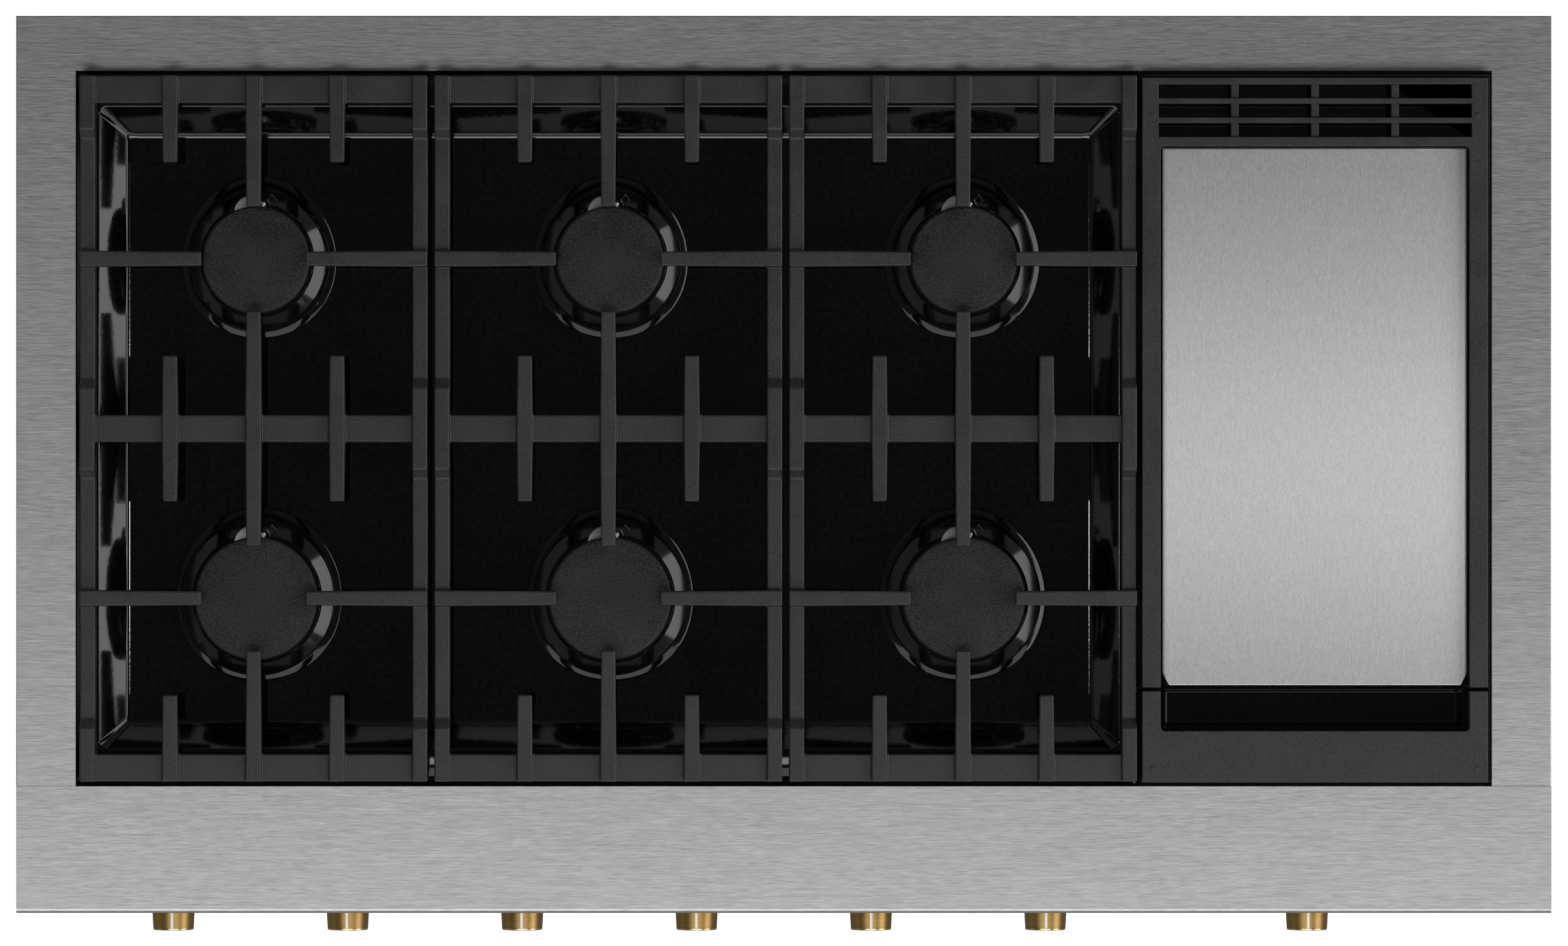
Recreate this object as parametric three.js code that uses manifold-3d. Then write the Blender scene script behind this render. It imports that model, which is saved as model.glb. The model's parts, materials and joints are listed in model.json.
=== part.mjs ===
// Gas rangetop of the 48 inch class: six sealed burners under three cast iron grates, a steel griddle on
// the right, and seven push-and-turn gas valves behind a stainless control panel.
// Units are millimetres. +X is to the cook's right, +Y to the rear and +Z up. The origin is the middle
// of the footprint, knobs included, at the level of the base.
import * as THREE from "three";
import { mergeVertices } from "three/addons/utils/BufferGeometryUtils.js";
import Module from "manifold-3d";

const wasm = await Module();
wasm.setup();

// Driving dimensions. Names that end in Z are heights above the base.
const GAP = 0.3; // running gap between pieces that touch
const SHEET = 2; // folded panels
const PRESSING = 1.6; // drawn pans
const THROUGH = 1; // how far a cut runs past the surface that it opens

const BODY = { half: 608, front: -349, back: 362, topZ: 196, skirtZ: 172 };
const OPENING = { half: 560.7, front: -248.5, back: 318.4, flangeZ: 190.3 };
const PANEL = { face: -330, topZ: BODY.skirtZ - GAP, holeRadius: 7, returnDepth: 16 };
const WALLS = { outer: 605.3, rear: 359.7, topZ: 193.7 };
const PAN = { half: 603, front: -327.7, rear: 357.4, wallHeight: 28 };

const GRATE = {
  pitch: 280,
  firstX: -418.5,
  y: 34.9,
  seatZ: 190.3,
  height: 28.7,
  halfWidth: 137.3,
  halfDepth: 278.7,
  rail: 12,
  railDrop: 6.5,
  crossbar: 21.6,
  crossbarDrop: 5.5,
  crossbarDepth: 13.5,
  barRoot: 12.8,
  barTip: 11.3,
  barRootDepth: 16,
  barTipDepth: 9,
  barSpacing: 65.9,
  endShortBar: 68.5,
  middleShortBar: 57.6,
  burnerY: 134,
  fingerClearance: 41.3,
  railSlope: 7,
  endRise: 42.5,
  middleRise: 32.2,
  footHeight: 7,
  endFoot: 28,
  middleFoot: 14,
};

const TRAY = { x: -138.5, y: 35.5, width: 809, depth: 510.5, inset: 24, flangeZ: 190, floorZ: 168 };
const TRAY_FLANGE = { left: -566, right: 280.4, front: -256, back: 322 };

const BURNER = {
  offsetX: 1,
  offsetY: -0.5,
  seatZ: 180,
  neckRadius: 26,
  boreRadius: 12,
  ports: 8,
  portWidth: 3,
};
const BOSS = { foot: 5, footRise: 2.6, topInset: 4 };
const CUP = { radius: 38, floorRadius: 22, bottom: -50, shoulder: -34, cavity: -38 };
const MIXING_TUBE = { z: -41, radius: 8, end: -66, holder: 11 };
const SMALL_BURNER = { capRadius: 42.5, skirtRadius: 55.3 };
const LARGE_BURNER = { capRadius: 48.6, skirtRadius: 61.8 };

const GRIDDLE = {
  left: 282.8,
  right: 555.7,
  front: -244.5,
  back: 311.8,
  topZ: 219,
  seatZ: 190.3,
  skinDepth: 10,
  innerLeft: 297.4,
  innerRight: 541.1,
  innerBack: 257.9,
  seamFront: -172.3,
  seamBack: -169.6,
  troughFront: -203.9,
};
const PLATE = {
  left: 299,
  right: 539.7,
  front: -168.4,
  back: 256.5,
  bottomZ: 203.7,
  thickness: 8,
  corner: { across: 5, along: 10.5 },
};
const VENT = { left: 295.8, right: 542.7, rows: 3, cells: 4, height: 10.8, pitch: 15.3, back: 306.5 };
const VENT_BRIDGE = { width: 6.2, drop: 3 };
const CASTING = { side: 7, end: 4, rear: 5 }; // wall thickness of the griddle's hollow castings
const BOX_LIP = { height: 16, gap: 1.3, thickness: 1.3 };
const TUBE_BURNER = { reach: 58, front: -120, back: 200, rise: 26, radius: 12 };
const WELL = { left: 300.4, right: 538.2, front: -166, back: 256, bottomZ: 150.4, topZ: 203.4 };
const POCKET = { left: 298.4, right: 540.6, front: -205.2, back: -167.9, bottomZ: 161.4 };

const CONTROL = { z: 112, firstX: -490, pitch: 140, count: 6, griddleX: 420 };
const KNOB = {
  back: 7.3,
  tip: 37,
  backRadius: 17.8,
  tipRadius: 16.2,
  chamfer: 0.9,
  bore: 4.4,
  boreEnd: 28.5,
};
const STEM = { radius: 4, flat: 2.6, flatFrom: 2.5, inside: 28, outside: 24 };
const VALVE = {
  halfWidth: 14,
  halfDepth: 16,
  front: -8,
  back: -34,
  bossRadius: 9,
  outletRadius: 5,
  bore: 4.8,
};
const MANIFOLD = { y: -312, z: CONTROL.z - 27.3, radius: 11, left: -535, right: 575, regulatorY: 296 };
const REGULATOR = { radius: 23, below: -20, shoulder: 8, top: 22, topRadius: 14, offset: 24 };
const GAS_INLET = {
  x: MANIFOLD.right,
  z: MANIFOLD.z,
  radius: 10.7,
  bore: 7.5,
  boreDepth: 14,
  hole: 16,
  proud: 1.5,
};
const POWER_INLET = { x: -510, z: 65, halfWidth: 20, halfHeight: 14, box: 30, boxHalfHeight: 24, proud: 1 };
const SOCKET = { halfWidth: 12, halfHeight: 8, depth: 12 };
const MODULE = { left: -400, right: -280, front: 200, back: 280, height: 44, ear: 15, earHeight: 3 };

// Materials
function paint(color, metalness, roughness) {
  return new THREE.MeshStandardMaterial({ color, metalness, roughness });
}

const stainless = paint(0xb4b5b7, 1, 0.34);
const griddleSteel = paint(0xc2c2c0, 1, 0.38);
const galvanised = paint(0x8f9498, 1, 0.5);
const castIron = paint(0x2b2b2b, 0, 0.72);
const blackEnamel = paint(0x07080b, 0, 0.1);
const burnerAlloy = paint(0x1a1b1d, 0.6, 0.3);
const aluminium = paint(0xa9abad, 1, 0.4);
const brass = paint(0xa3824a, 1, 0.3);
const steel = paint(0xa0a2a4, 1, 0.35);
const blackPlastic = paint(0x17181a, 0, 0.5);

// Solids. A body is a closed manifold, joined and cut by boolean operations.
function bodyOf(geometry) {
  const bare = new THREE.BufferGeometry().setAttribute("position", geometry.getAttribute("position"));
  if (geometry.index) bare.setIndex(geometry.index);
  const merged = mergeVertices(bare, 1e-4);
  const position = merged.attributes.position.array;
  const corners = Array.from(merged.index.array);
  const faces = [];
  for (let i = 0; i < corners.length; i += 3) {
    const [a, b, c] = corners.slice(i, i + 3);
    if (a !== b && b !== c && c !== a) faces.push(a, b, c);
  }
  const make = (triangles) => {
    const mesh = new wasm.Mesh({
      numProp: 3,
      vertProperties: position,
      triVerts: new Uint32Array(triangles),
    });
    return new wasm.Manifold(mesh);
  };
  const made = make(faces);
  return made.volume() > 0 ? made : make(faces.reverse());
}

function geometryOf(body) {
  const mesh = body.getMesh();
  const geometry = new THREE.BufferGeometry();
  geometry.setAttribute("position", new THREE.BufferAttribute(mesh.vertProperties, 3));
  geometry.setIndex(new THREE.BufferAttribute(mesh.triVerts, 1));
  const flat = geometry.toNonIndexed();
  flat.computeVertexNormals();
  return flat;
}

function join(bodies) {
  return bodies.reduce((whole, piece) => whole.add(piece));
}

function cut(body, tools) {
  return tools.reduce((rest, tool) => rest.subtract(tool), body);
}

function block(x0, x1, y0, y1, z0, z1) {
  const geometry = new THREE.BoxGeometry(x1 - x0, y1 - y0, z1 - z0);
  geometry.translate((x0 + x1) / 2, (y0 + y1) / 2, (z0 + z1) / 2);
  return bodyOf(geometry);
}

// An upright round body from its half section, a list of [radius, height].
function turned(section, segments) {
  const points = section.map(([radius, height]) => new THREE.Vector2(radius, height));
  return bodyOf(new THREE.LatheGeometry(points, segments).rotateX(Math.PI / 2));
}

function upright(radius, z0, z1, segments) {
  return turned([
    [0, z0],
    [radius, z0],
    [radius, z1],
    [0, z1],
  ], segments);
}

// A straight round rod between two points.
function rod(from, to, radius, segments) {
  const start = new THREE.Vector3(...from);
  const run = new THREE.Vector3(...to).sub(start);
  const upwards = new THREE.Vector3(0, 1, 0);
  const turn = new THREE.Quaternion().setFromUnitVectors(upwards, run.clone().normalize());
  const middle = start.addScaledVector(run, 0.5);
  const geometry = new THREE.CylinderGeometry(radius, radius, run.length(), segments);
  return bodyOf(geometry.applyQuaternion(turn).translate(middle.x, middle.y, middle.z));
}

function ball(x, y, z, radius, segments) {
  return bodyOf(new THREE.SphereGeometry(radius, segments, segments / 2).translate(x, y, z));
}

// An outline of [x, y] points, drawn out upwards from z0 to z1.
function slab(outline, z0, z1) {
  const shape = new THREE.Shape(outline.map(([x, y]) => new THREE.Vector2(x, y)));
  const geometry = new THREE.ExtrudeGeometry(shape, { depth: z1 - z0, bevelEnabled: false });
  return bodyOf(geometry.translate(0, 0, z0));
}

// A pan-shaped block: a box whose floor is smaller than its top by inset on every side.
function panBlock({ x, y, width, depth, inset }, z0, z1) {
  const geometry = new THREE.BoxGeometry(width, depth, z1 - z0);
  const position = geometry.getAttribute("position");
  for (let i = 0; i < position.count; i++) {
    if (position.getZ(i) > 0) continue;
    position.setX(i, position.getX(i) - Math.sign(position.getX(i)) * inset);
    position.setY(i, position.getY(i) - Math.sign(position.getY(i)) * inset);
  }
  return bodyOf(geometry.translate(x, y, (z0 + z1) / 2));
}

// A grate bar from its root to its tip, which gets narrower and shallower on the way. Its top is level.
function bar(root, tip) {
  const start = new THREE.Vector3(root[0], root[1], 0);
  const run = new THREE.Vector3(tip[0], tip[1], 0).sub(start);
  const geometry = new THREE.BoxGeometry(run.length(), 1, 1).translate(run.length() / 2, 0, -0.5);
  const position = geometry.getAttribute("position");
  for (let i = 0; i < position.count; i++) {
    const atTip = position.getX(i) > run.length() / 2;
    position.setY(i, position.getY(i) * (atTip ? GRATE.barTip : GRATE.barRoot));
    position.setZ(i, position.getZ(i) * (atTip ? GRATE.barTipDepth : GRATE.barRootDepth));
  }
  geometry.rotateZ(Math.atan2(run.y, run.x)).translate(start.x, start.y, GRATE.height);
  return bodyOf(geometry);
}

// A bar across the middle of the grate, widest and deepest there, with a tip at each end.
function throughBar(x, reach) {
  const geometry = new THREE.BoxGeometry(1, 2 * reach, 1, 1, 2, 1).translate(0, 0, -0.5);
  const position = geometry.getAttribute("position");
  for (let i = 0; i < position.count; i++) {
    const atTip = position.getY(i) !== 0;
    position.setX(i, position.getX(i) * (atTip ? GRATE.barTip : GRATE.barRoot));
    position.setZ(i, position.getZ(i) * (atTip ? GRATE.barTipDepth : GRATE.barRootDepth));
  }
  return bodyOf(geometry.translate(x, 0, GRATE.height));
}

const range = new THREE.Group();

function add(parent, name, shape, material, [x, y, z] = [0, 0, 0]) {
  const mesh = new THREE.Mesh(shape.isBufferGeometry ? shape : geometryOf(shape), material);
  mesh.name = name;
  mesh.position.set(x, y, z);
  parent.add(mesh);
}

function placedGroup(x, y, z) {
  const group = new THREE.Group();
  group.position.set(x, y, z);
  range.add(group);
  return group;
}

// Chassis: a folded base pan inside two side panels and a rear panel.
function basePan() {
  const { half, front, rear, wallHeight } = PAN;
  const outer = block(-half, half, front, rear, 0, wallHeight);
  const inside = half - SHEET;
  return outer.subtract(block(-inside, inside, front + SHEET, rear - SHEET, SHEET, wallHeight + THROUGH));
}

function sidePanel(side) {
  const inner = WALLS.outer - SHEET;
  const front = PANEL.face + PANEL.returnDepth + SHEET + GAP;
  const [x0, x1] = side < 0 ? [-WALLS.outer, -inner] : [inner, WALLS.outer];
  return block(x0, x1, front, WALLS.rear, 0, WALLS.topZ);
}

function rearPanel() {
  const { x, z, halfWidth, halfHeight } = POWER_INLET;
  const y0 = WALLS.rear - SHEET;
  const sheet = block(-PAN.half, PAN.half, y0, WALLS.rear, 0, WALLS.topZ);
  return cut(sheet, [
    rod(
      [GAS_INLET.x, y0 - THROUGH, GAS_INLET.z],
      [GAS_INLET.x, WALLS.rear + THROUGH, GAS_INLET.z],
      GAS_INLET.hole,
      16,
    ),
    block(
      x - halfWidth - GAP,
      x + halfWidth + GAP,
      y0 - THROUGH,
      WALLS.rear + THROUGH,
      z - halfHeight - GAP,
      z + halfHeight + GAP,
    ),
  ]);
}

const knobPositions = Array.from({ length: CONTROL.count }, (_, i) => CONTROL.firstX + i * CONTROL.pitch);
knobPositions.push(CONTROL.griddleX);

function controlPanel() {
  const { face, topZ, returnDepth, holeRadius } = PANEL;
  const outer = WALLS.outer;
  const plate = block(-outer, outer, face, face + SHEET, 0, topZ);
  const ends = [-1, 1].map((side) => {
    const [x0, x1] = side < 0 ? [-outer, -outer + SHEET] : [outer - SHEET, outer];
    return block(x0, x1, face + SHEET / 2, face + SHEET + returnDepth, 0, topZ);
  });
  const holes = knobPositions.map((x) =>
    rod([x, face - THROUGH, CONTROL.z], [x, face + SHEET + THROUGH, CONTROL.z], holeRadius, 12),
  );
  return cut(join([plate, ...ends]), holes);
}

// The landing ledge in front of the grates, folded down at the front and back under to the panel.
function frontLedge() {
  const { half, front, topZ, skirtZ } = BODY;
  const rear = OPENING.front;
  const outer = block(-half, half, front, rear, skirtZ, topZ);
  const inside = half - SHEET;
  const hollow = block(-inside, inside, front + SHEET, rear + THROUGH, skirtZ + SHEET, topZ - SHEET);
  const opened = block(-inside, inside, PANEL.face + SHEET, rear + THROUGH, 0, OPENING.flangeZ);
  const lip = block(-OPENING.half, OPENING.half, rear - SHEET, rear, OPENING.flangeZ, topZ);
  return outer.subtract(hollow).subtract(opened).add(lip);
}

// Surround on the left, rear and right of the cooking area, folded down outside and inside.
function topTrim() {
  const { half, back, topZ, skirtZ } = BODY;
  const front = OPENING.front + GAP;
  const outer = block(-half, half, front, back, skirtZ, topZ);
  const under = block(-half + SHEET, half - SHEET, front - THROUGH, back - SHEET, 0, topZ - SHEET);
  const lip = block(
    -OPENING.half - SHEET,
    OPENING.half + SHEET,
    front,
    OPENING.back + SHEET,
    OPENING.flangeZ,
    topZ - SHEET / 2,
  );
  const opening = block(-OPENING.half, OPENING.half, front - THROUGH, OPENING.back, 0, topZ + THROUGH);
  return outer.subtract(under).add(lip).subtract(opening);
}

// Burner positions, left to right and rear to front.
const columns = ["left", "middle", "right"].map((name, i) => ({ name, x: GRATE.firstX + i * GRATE.pitch }));
const rows = [
  { name: "rear", y: GRATE.y + GRATE.burnerY + BURNER.offsetY, size: SMALL_BURNER },
  { name: "front", y: GRATE.y - GRATE.burnerY + BURNER.offsetY, size: LARGE_BURNER },
];
const burners = columns.flatMap((column) =>
  rows.map((row) => ({
    name: `${row.name}_${column.name}`,
    x: column.x + BURNER.offsetX,
    y: row.y,
    size: row.size,
  })),
);

// One drawn pan for all six burners, with a raised boss and a hole for each of them.
function spillTray() {
  const { flangeZ, floorZ } = TRAY;
  const { left, right, front, back } = TRAY_FLANGE;
  const below = floorZ - PRESSING;
  const grown = { ...TRAY, width: TRAY.width + 2 * PRESSING, depth: TRAY.depth + 2 * PRESSING };
  const flange = block(left, right, front, back, flangeZ - PRESSING, flangeZ);
  const pan = flange.add(panBlock(grown, below, flangeZ)).subtract(panBlock(TRAY, floorZ, flangeZ + 0.01));
  return burners.reduce((pressed, burner) => pressBoss(pressed, burner), pan);
}

// The boss rises from a shallow foot to a steep wall, and the neck of the burner goes through its top.
function pressBoss(pan, { x, y, size }) {
  const below = TRAY.floorZ - PRESSING;
  const top = BURNER.seatZ;
  const foot = size.skirtRadius + BOSS.foot;
  const footZ = TRAY.floorZ + BOSS.footRise;
  const topRadius = size.skirtRadius - BOSS.topInset;
  const hole = BURNER.neckRadius + THROUGH;
  const outside = [
    [0, below],
    [foot, below],
    [foot, TRAY.floorZ],
    [size.skirtRadius, footZ],
    [topRadius, top],
    [0, top],
  ];
  const inside = [
    [0, below - THROUGH],
    [foot - PRESSING, below - THROUGH],
    [size.skirtRadius - PRESSING, footZ - PRESSING],
    [topRadius - PRESSING, top - PRESSING],
    [0, top - PRESSING],
  ];
  const neck = [
    [0, below],
    [hole, below],
    [hole, top + THROUGH],
    [0, top + THROUGH],
  ];
  const [boss, hollow, opening] = [turned(outside, 24), turned(inside, 16), turned(neck, 12)];
  const at = [x, y, 0];
  return cut(pan.add(boss.translate(at)), [hollow.translate(at), opening.translate(at)]);
}

// Side rail of a grate, drawn in the Y-Z plane: high at the corners and at the middle crossbar, low
// beside each burner, and standing on three feet.
function grateRail(x) {
  const { halfDepth, height, rail, railDrop, railSlope, endRise, middleRise } = GRATE;
  const { footHeight, endFoot, middleFoot } = GRATE;
  const lowZ = height - railDrop;
  const half = [
    [halfDepth, 0],
    [halfDepth, height],
    [halfDepth - endRise, height],
    [halfDepth - endRise - railSlope, lowZ],
    [middleRise + railSlope, lowZ],
    [middleRise, height],
  ];
  const underside = [
    [-halfDepth + endFoot, 0],
    [-halfDepth + endFoot + footHeight, footHeight],
    [-middleFoot - footHeight, footHeight],
    [-middleFoot, 0],
  ];
  const mirrored = (points) => points.map(([y, z]) => [-y, z]).reverse();
  const outline = [...half, ...mirrored(half), ...underside, ...mirrored(underside)];
  const side = slab(outline, -rail / 2, rail / 2);
  // The outline's X runs along the part's Y, and its Y upwards.
  return side.rotate([90, 0, 90]).translate([x, 0, 0]);
}

function grate() {
  const { halfWidth, halfDepth, rail, height, crossbar, crossbarDrop, crossbarDepth, barSpacing } = GRATE;
  const topZ = height - crossbarDrop;
  const crossbars = [-halfDepth + crossbar / 2, 0, halfDepth - crossbar / 2].map((y) =>
    block(-halfWidth + 1, halfWidth - 1, y - crossbar / 2, y + crossbar / 2, topZ - crossbarDepth, topZ),
  );
  const bars = [throughBar(0, GRATE.burnerY - GRATE.fingerClearance)];
  for (const side of [-1, 1]) bars.push(throughBar(side * barSpacing, GRATE.middleShortBar));
  for (const end of [-1, 1]) {
    const burner = end * GRATE.burnerY;
    bars.push(bar([0, end * halfDepth], [0, burner + end * GRATE.fingerClearance]));
    for (const side of [-1, 1]) {
      const x = side * barSpacing;
      bars.push(bar([x, end * halfDepth], [x, end * (halfDepth - GRATE.endShortBar)]));
      bars.push(bar([side * halfWidth, burner], [side * GRATE.fingerClearance, burner]));
    }
  }
  const rails = [-1, 1].map((side) => grateRail(side * (halfWidth - rail / 2)));
  return join([...rails, ...crossbars, ...bars]);
}

// Burner pieces, about the burner's axis, with Z measured from the boss that it stands on.
const HEAD = {
  skirtEdge: 2,
  skirtTop: 10,
  crownStep: 1.2,
  crownInset: 1.5,
  crownTop: 16,
  crownWall: 7.5,
  neckBottom: -17.3,
};
const CAP = { thickness: 7.7, chamfer: 2, lip: 3 };

function burnerHead({ capRadius, skirtRadius }) {
  const { skirtEdge, skirtTop, crownStep, crownInset, crownTop, crownWall, neckBottom } = HEAD;
  const crown = capRadius - crownInset;
  const cavity = skirtTop - 3;
  const body = turned([
    [BURNER.boreRadius, neckBottom],
    [BURNER.neckRadius, neckBottom],
    [BURNER.neckRadius, GAP],
    [skirtRadius, GAP],
    [skirtRadius, skirtEdge],
    [capRadius + crownInset, skirtTop],
    [crown, skirtTop],
    [crown, crownTop],
    [crown - crownWall, crownTop],
    [crown - crownWall, cavity],
    [BURNER.boreRadius, cavity],
    [BURNER.boreRadius, neckBottom],
  ], 20);
  const ports = Array.from({ length: BURNER.ports }, (_, i) =>
    block(
      crown - crownWall - THROUGH,
      crown + THROUGH,
      -BURNER.portWidth / 2,
      BURNER.portWidth / 2,
      skirtTop + crownStep,
      crownTop + THROUGH,
    ).rotate([0, 0, (i * 360) / BURNER.ports]),
  );
  return cut(body, ports);
}

function burnerCap({ capRadius }) {
  const bottom = HEAD.crownTop + GAP;
  const top = bottom + CAP.thickness;
  const lip = capRadius - HEAD.crownInset - HEAD.crownWall - 1;
  return turned([
    [0, bottom],
    [lip - CAP.lip, bottom],
    [lip - CAP.lip, bottom - CAP.lip],
    [lip, bottom - CAP.lip],
    [lip, bottom],
    [capRadius, bottom],
    [capRadius, top - CAP.chamfer],
    [capRadius - CAP.chamfer, top],
    [0, top],
  ], 24);
}

// The cup below the tray, and the mixing tube that leads to it from the injector's holder.
function burnerCup() {
  const top = TRAY.floorZ - PRESSING - BURNER.seatZ - GAP;
  const seat = HEAD.neckBottom - GAP;
  const neck = BURNER.neckRadius + 1;
  const cup = turned([
    [0, CUP.bottom],
    [CUP.floorRadius, CUP.bottom],
    [CUP.radius, CUP.shoulder],
    [CUP.radius, top],
    [neck, top],
    [neck, seat],
    [BURNER.boreRadius, seat],
    [BURNER.boreRadius, CUP.cavity],
    [0, CUP.cavity],
  ], 12);
  const { z, radius, end, holder } = MIXING_TUBE;
  const tube = rod([0, -20, z], [0, end, z], radius, 10);
  return join([cup, tube, block(-holder, holder, end - 10, end + 2, z - holder, z + holder)]);
}

// Griddle: a cast frame with flue vents at the rear, a front trim, a plate, a grease tray and a sheet box.
function griddleFrame() {
  const g = GRIDDLE;
  const casting = block(g.left, g.right, g.seamBack, g.back, g.seatZ, g.topZ);
  const opening = block(g.innerLeft, g.innerRight, g.seamBack - THROUGH, g.innerBack, 0, g.topZ + THROUGH);
  const hollow = block(
    g.left + CASTING.side,
    g.right - CASTING.side,
    g.innerBack + CASTING.rear,
    g.back - CASTING.end,
    0,
    g.topZ - g.skinDepth,
  );
  const vents = [];
  const cell = (VENT.right - VENT.left - (VENT.cells - 1) * VENT_BRIDGE.width) / VENT.cells;
  for (let row = 0; row < VENT.rows; row++) {
    const y1 = VENT.back - row * VENT.pitch;
    const y0 = y1 - VENT.height;
    vents.push(block(VENT.left, VENT.right, y0, y1, g.topZ - VENT_BRIDGE.drop, g.topZ + THROUGH));
    for (let i = 0; i < VENT.cells; i++) {
      const x0 = VENT.left + i * (cell + VENT_BRIDGE.width);
      vents.push(block(x0, x0 + cell, y0, y1, g.topZ - g.skinDepth - THROUGH, g.topZ));
    }
  }
  return cut(casting, [opening, hollow, ...vents]);
}

function griddleFrontTrim() {
  const g = GRIDDLE;
  const casting = block(g.left, g.right, g.front, g.seamFront, g.seatZ, g.topZ);
  const troughRear = g.seamFront + THROUGH;
  const trough = block(g.innerLeft, g.innerRight, g.troughFront, troughRear, 0, g.topZ + THROUGH);
  const hollow = block(
    g.left + CASTING.side,
    g.right - CASTING.side,
    g.front + CASTING.end,
    g.troughFront - CASTING.end,
    0,
    g.topZ - g.skinDepth,
  );
  return cut(casting, [trough, hollow]);
}

function griddlePlate() {
  const { left, right, front, back, bottomZ, thickness, corner } = PLATE;
  const outline = [
    [left, back],
    [left, front + corner.along],
    [left + corner.across, front],
    [right - corner.across, front],
    [right, front + corner.along],
    [right, back],
  ];
  return slab(outline, bottomZ, bottomZ + thickness);
}

// The same box, drawn in by a sheet's thickness on every side but its open top.
function hollowOf({ left, right, front, back, bottomZ, topZ }) {
  return block(
    left + PRESSING,
    right - PRESSING,
    front + PRESSING,
    back - PRESSING,
    bottomZ + PRESSING,
    topZ + THROUGH,
  );
}

// The fire box and the pocket of the grease tray, in one flanged sheet that the castings stand on.
function griddleBox() {
  const pocket = { ...POCKET, topZ: TRAY.flangeZ };
  const boxes = [WELL, pocket].map((b) => block(b.left, b.right, b.front, b.back, b.bottomZ, b.topZ));
  const flange = block(
    TRAY_FLANGE.right + 2 * GAP,
    -TRAY_FLANGE.left,
    TRAY_FLANGE.front,
    TRAY_FLANGE.back,
    TRAY.flangeZ - PRESSING,
    TRAY.flangeZ,
  );
  const { height, gap, thickness } = BOX_LIP;
  const lipX = GRIDDLE.right + gap;
  const lipY = GRIDDLE.back + gap;
  const [lipBottom, lipTop] = [TRAY.flangeZ - 1, TRAY.flangeZ + height];
  const rearLip = block(GRIDDLE.left + 2, lipX + thickness, lipY, lipY + thickness, lipBottom, lipTop);
  const rightLip = block(lipX, lipX + thickness, GRIDDLE.front, lipY + thickness, lipBottom, lipTop);
  const flue = block(
    WELL.left + 20,
    WELL.right - 20,
    WELL.back - 5,
    WELL.back + THROUGH,
    TRAY.flangeZ + 2,
    WELL.topZ + THROUGH,
  );
  return cut(join([flange, rearLip, rightLip, ...boxes]), [hollowOf(WELL), flue, hollowOf(pocket)]);
}

function greaseTray() {
  const wall = 1.5;
  const height = 37;
  const outer = {
    x: (POCKET.left + POCKET.right) / 2,
    y: (POCKET.front + POCKET.back) / 2 - 0.05,
    width: POCKET.right - POCKET.left - 2 * PRESSING - 1,
    depth: POCKET.back - POCKET.front - 2 * PRESSING - 1,
    inset: 2,
  };
  const inner = { ...outer, width: outer.width - 2 * wall, depth: outer.depth - 2 * wall };
  const z0 = POCKET.bottomZ + PRESSING + GAP;
  return panBlock(outer, z0, z0 + height).subtract(panBlock(inner, z0 + wall, z0 + height + 0.01));
}

// A U-shaped tube burner along the griddle, fed at the front.
function griddleBurner() {
  const { reach, front, back, rise, radius } = TUBE_BURNER;
  const x = (WELL.left + WELL.right) / 2;
  const z = WELL.bottomZ + rise;
  const sides = [x - reach, x + reach];
  const tubes = sides.map((side) => rod([side, front, z], [side, back, z], radius, 10));
  const elbows = sides.map((side) => ball(side, front, z, radius, 10));
  return join([...tubes, rod([sides[0], front, z], [sides[1], front, z], radius, 10), ...elbows]);
}

// Controls, about the valve's axis in its own frame: +Z points out of the panel, from its front face.
// The stem has a flat on one side that turns the knob, and the knob slides in along it when it is pushed.
const keyed = (body, flat, z0, z1) => body.subtract(block(-10, 10, flat, 10, z0, z1));

function knob() {
  const { back, tip, backRadius, tipRadius, chamfer, bore, boreEnd } = KNOB;
  const body = turned([
    [0, back],
    [backRadius, back],
    [tipRadius, tip - chamfer],
    [tipRadius - chamfer, tip],
    [0, tip],
  ], 20);
  const socket = upright(bore, back - THROUGH, boreEnd, 12);
  return body.subtract(keyed(socket, STEM.flat + GAP, back - 2 * THROUGH, boreEnd + THROUGH));
}

function valveStem() {
  const { radius, flat, flatFrom, inside, outside } = STEM;
  return keyed(upright(radius, -inside, outside, 12), flat, flatFrom, outside + THROUGH);
}

function valveBody() {
  const { halfWidth, halfDepth, front, back, bossRadius, outletRadius, bore } = VALVE;
  const casting = block(-halfWidth, halfWidth, -halfDepth, halfDepth, back, front);
  const neck = upright(bossRadius, front - 1, front + 5, 12);
  const outlet = upright(outletRadius, back - 12, back + 1, 8);
  return join([casting, neck, outlet]).subtract(upright(bore, back + 2, 0, 12));
}

// Gas supply: the manifold pipe under the valves, turned to the rear at the right-hand end.
function gasManifold() {
  const { y, z, radius, left, right, regulatorY } = MANIFOLD;
  const along = rod([left, y, z], [right, y, z], radius, 12);
  const back = rod([right, y, z], [right, regulatorY, z], radius, 12);
  const plug = rod([left - 12, y, z], [left, y, z], radius + 4, 6);
  return join([along, ball(right, y, z, radius, 12), back, plug]);
}

function pressureRegulator() {
  const { right: x, z, regulatorY } = MANIFOLD;
  const { radius, below, shoulder, top, topRadius, offset } = REGULATOR;
  const { boreDepth, proud } = GAS_INLET;
  const y = regulatorY + offset;
  const rear = WALLS.rear;
  const housing = turned([
    [0, below],
    [radius, below],
    [radius, shoulder],
    [topRadius, top],
    [0, top],
  ], 16).translate([x, y, z]);
  const inlet = rod([x, y, z], [x, rear + proud, z], GAS_INLET.radius, 12);
  const bore = rod([x, rear - boreDepth, z], [x, rear + proud + THROUGH, z], GAS_INLET.bore, 12);
  return housing.add(inlet).subtract(bore).trimByPlane([0, 1, 0], regulatorY + GAP);
}

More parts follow.
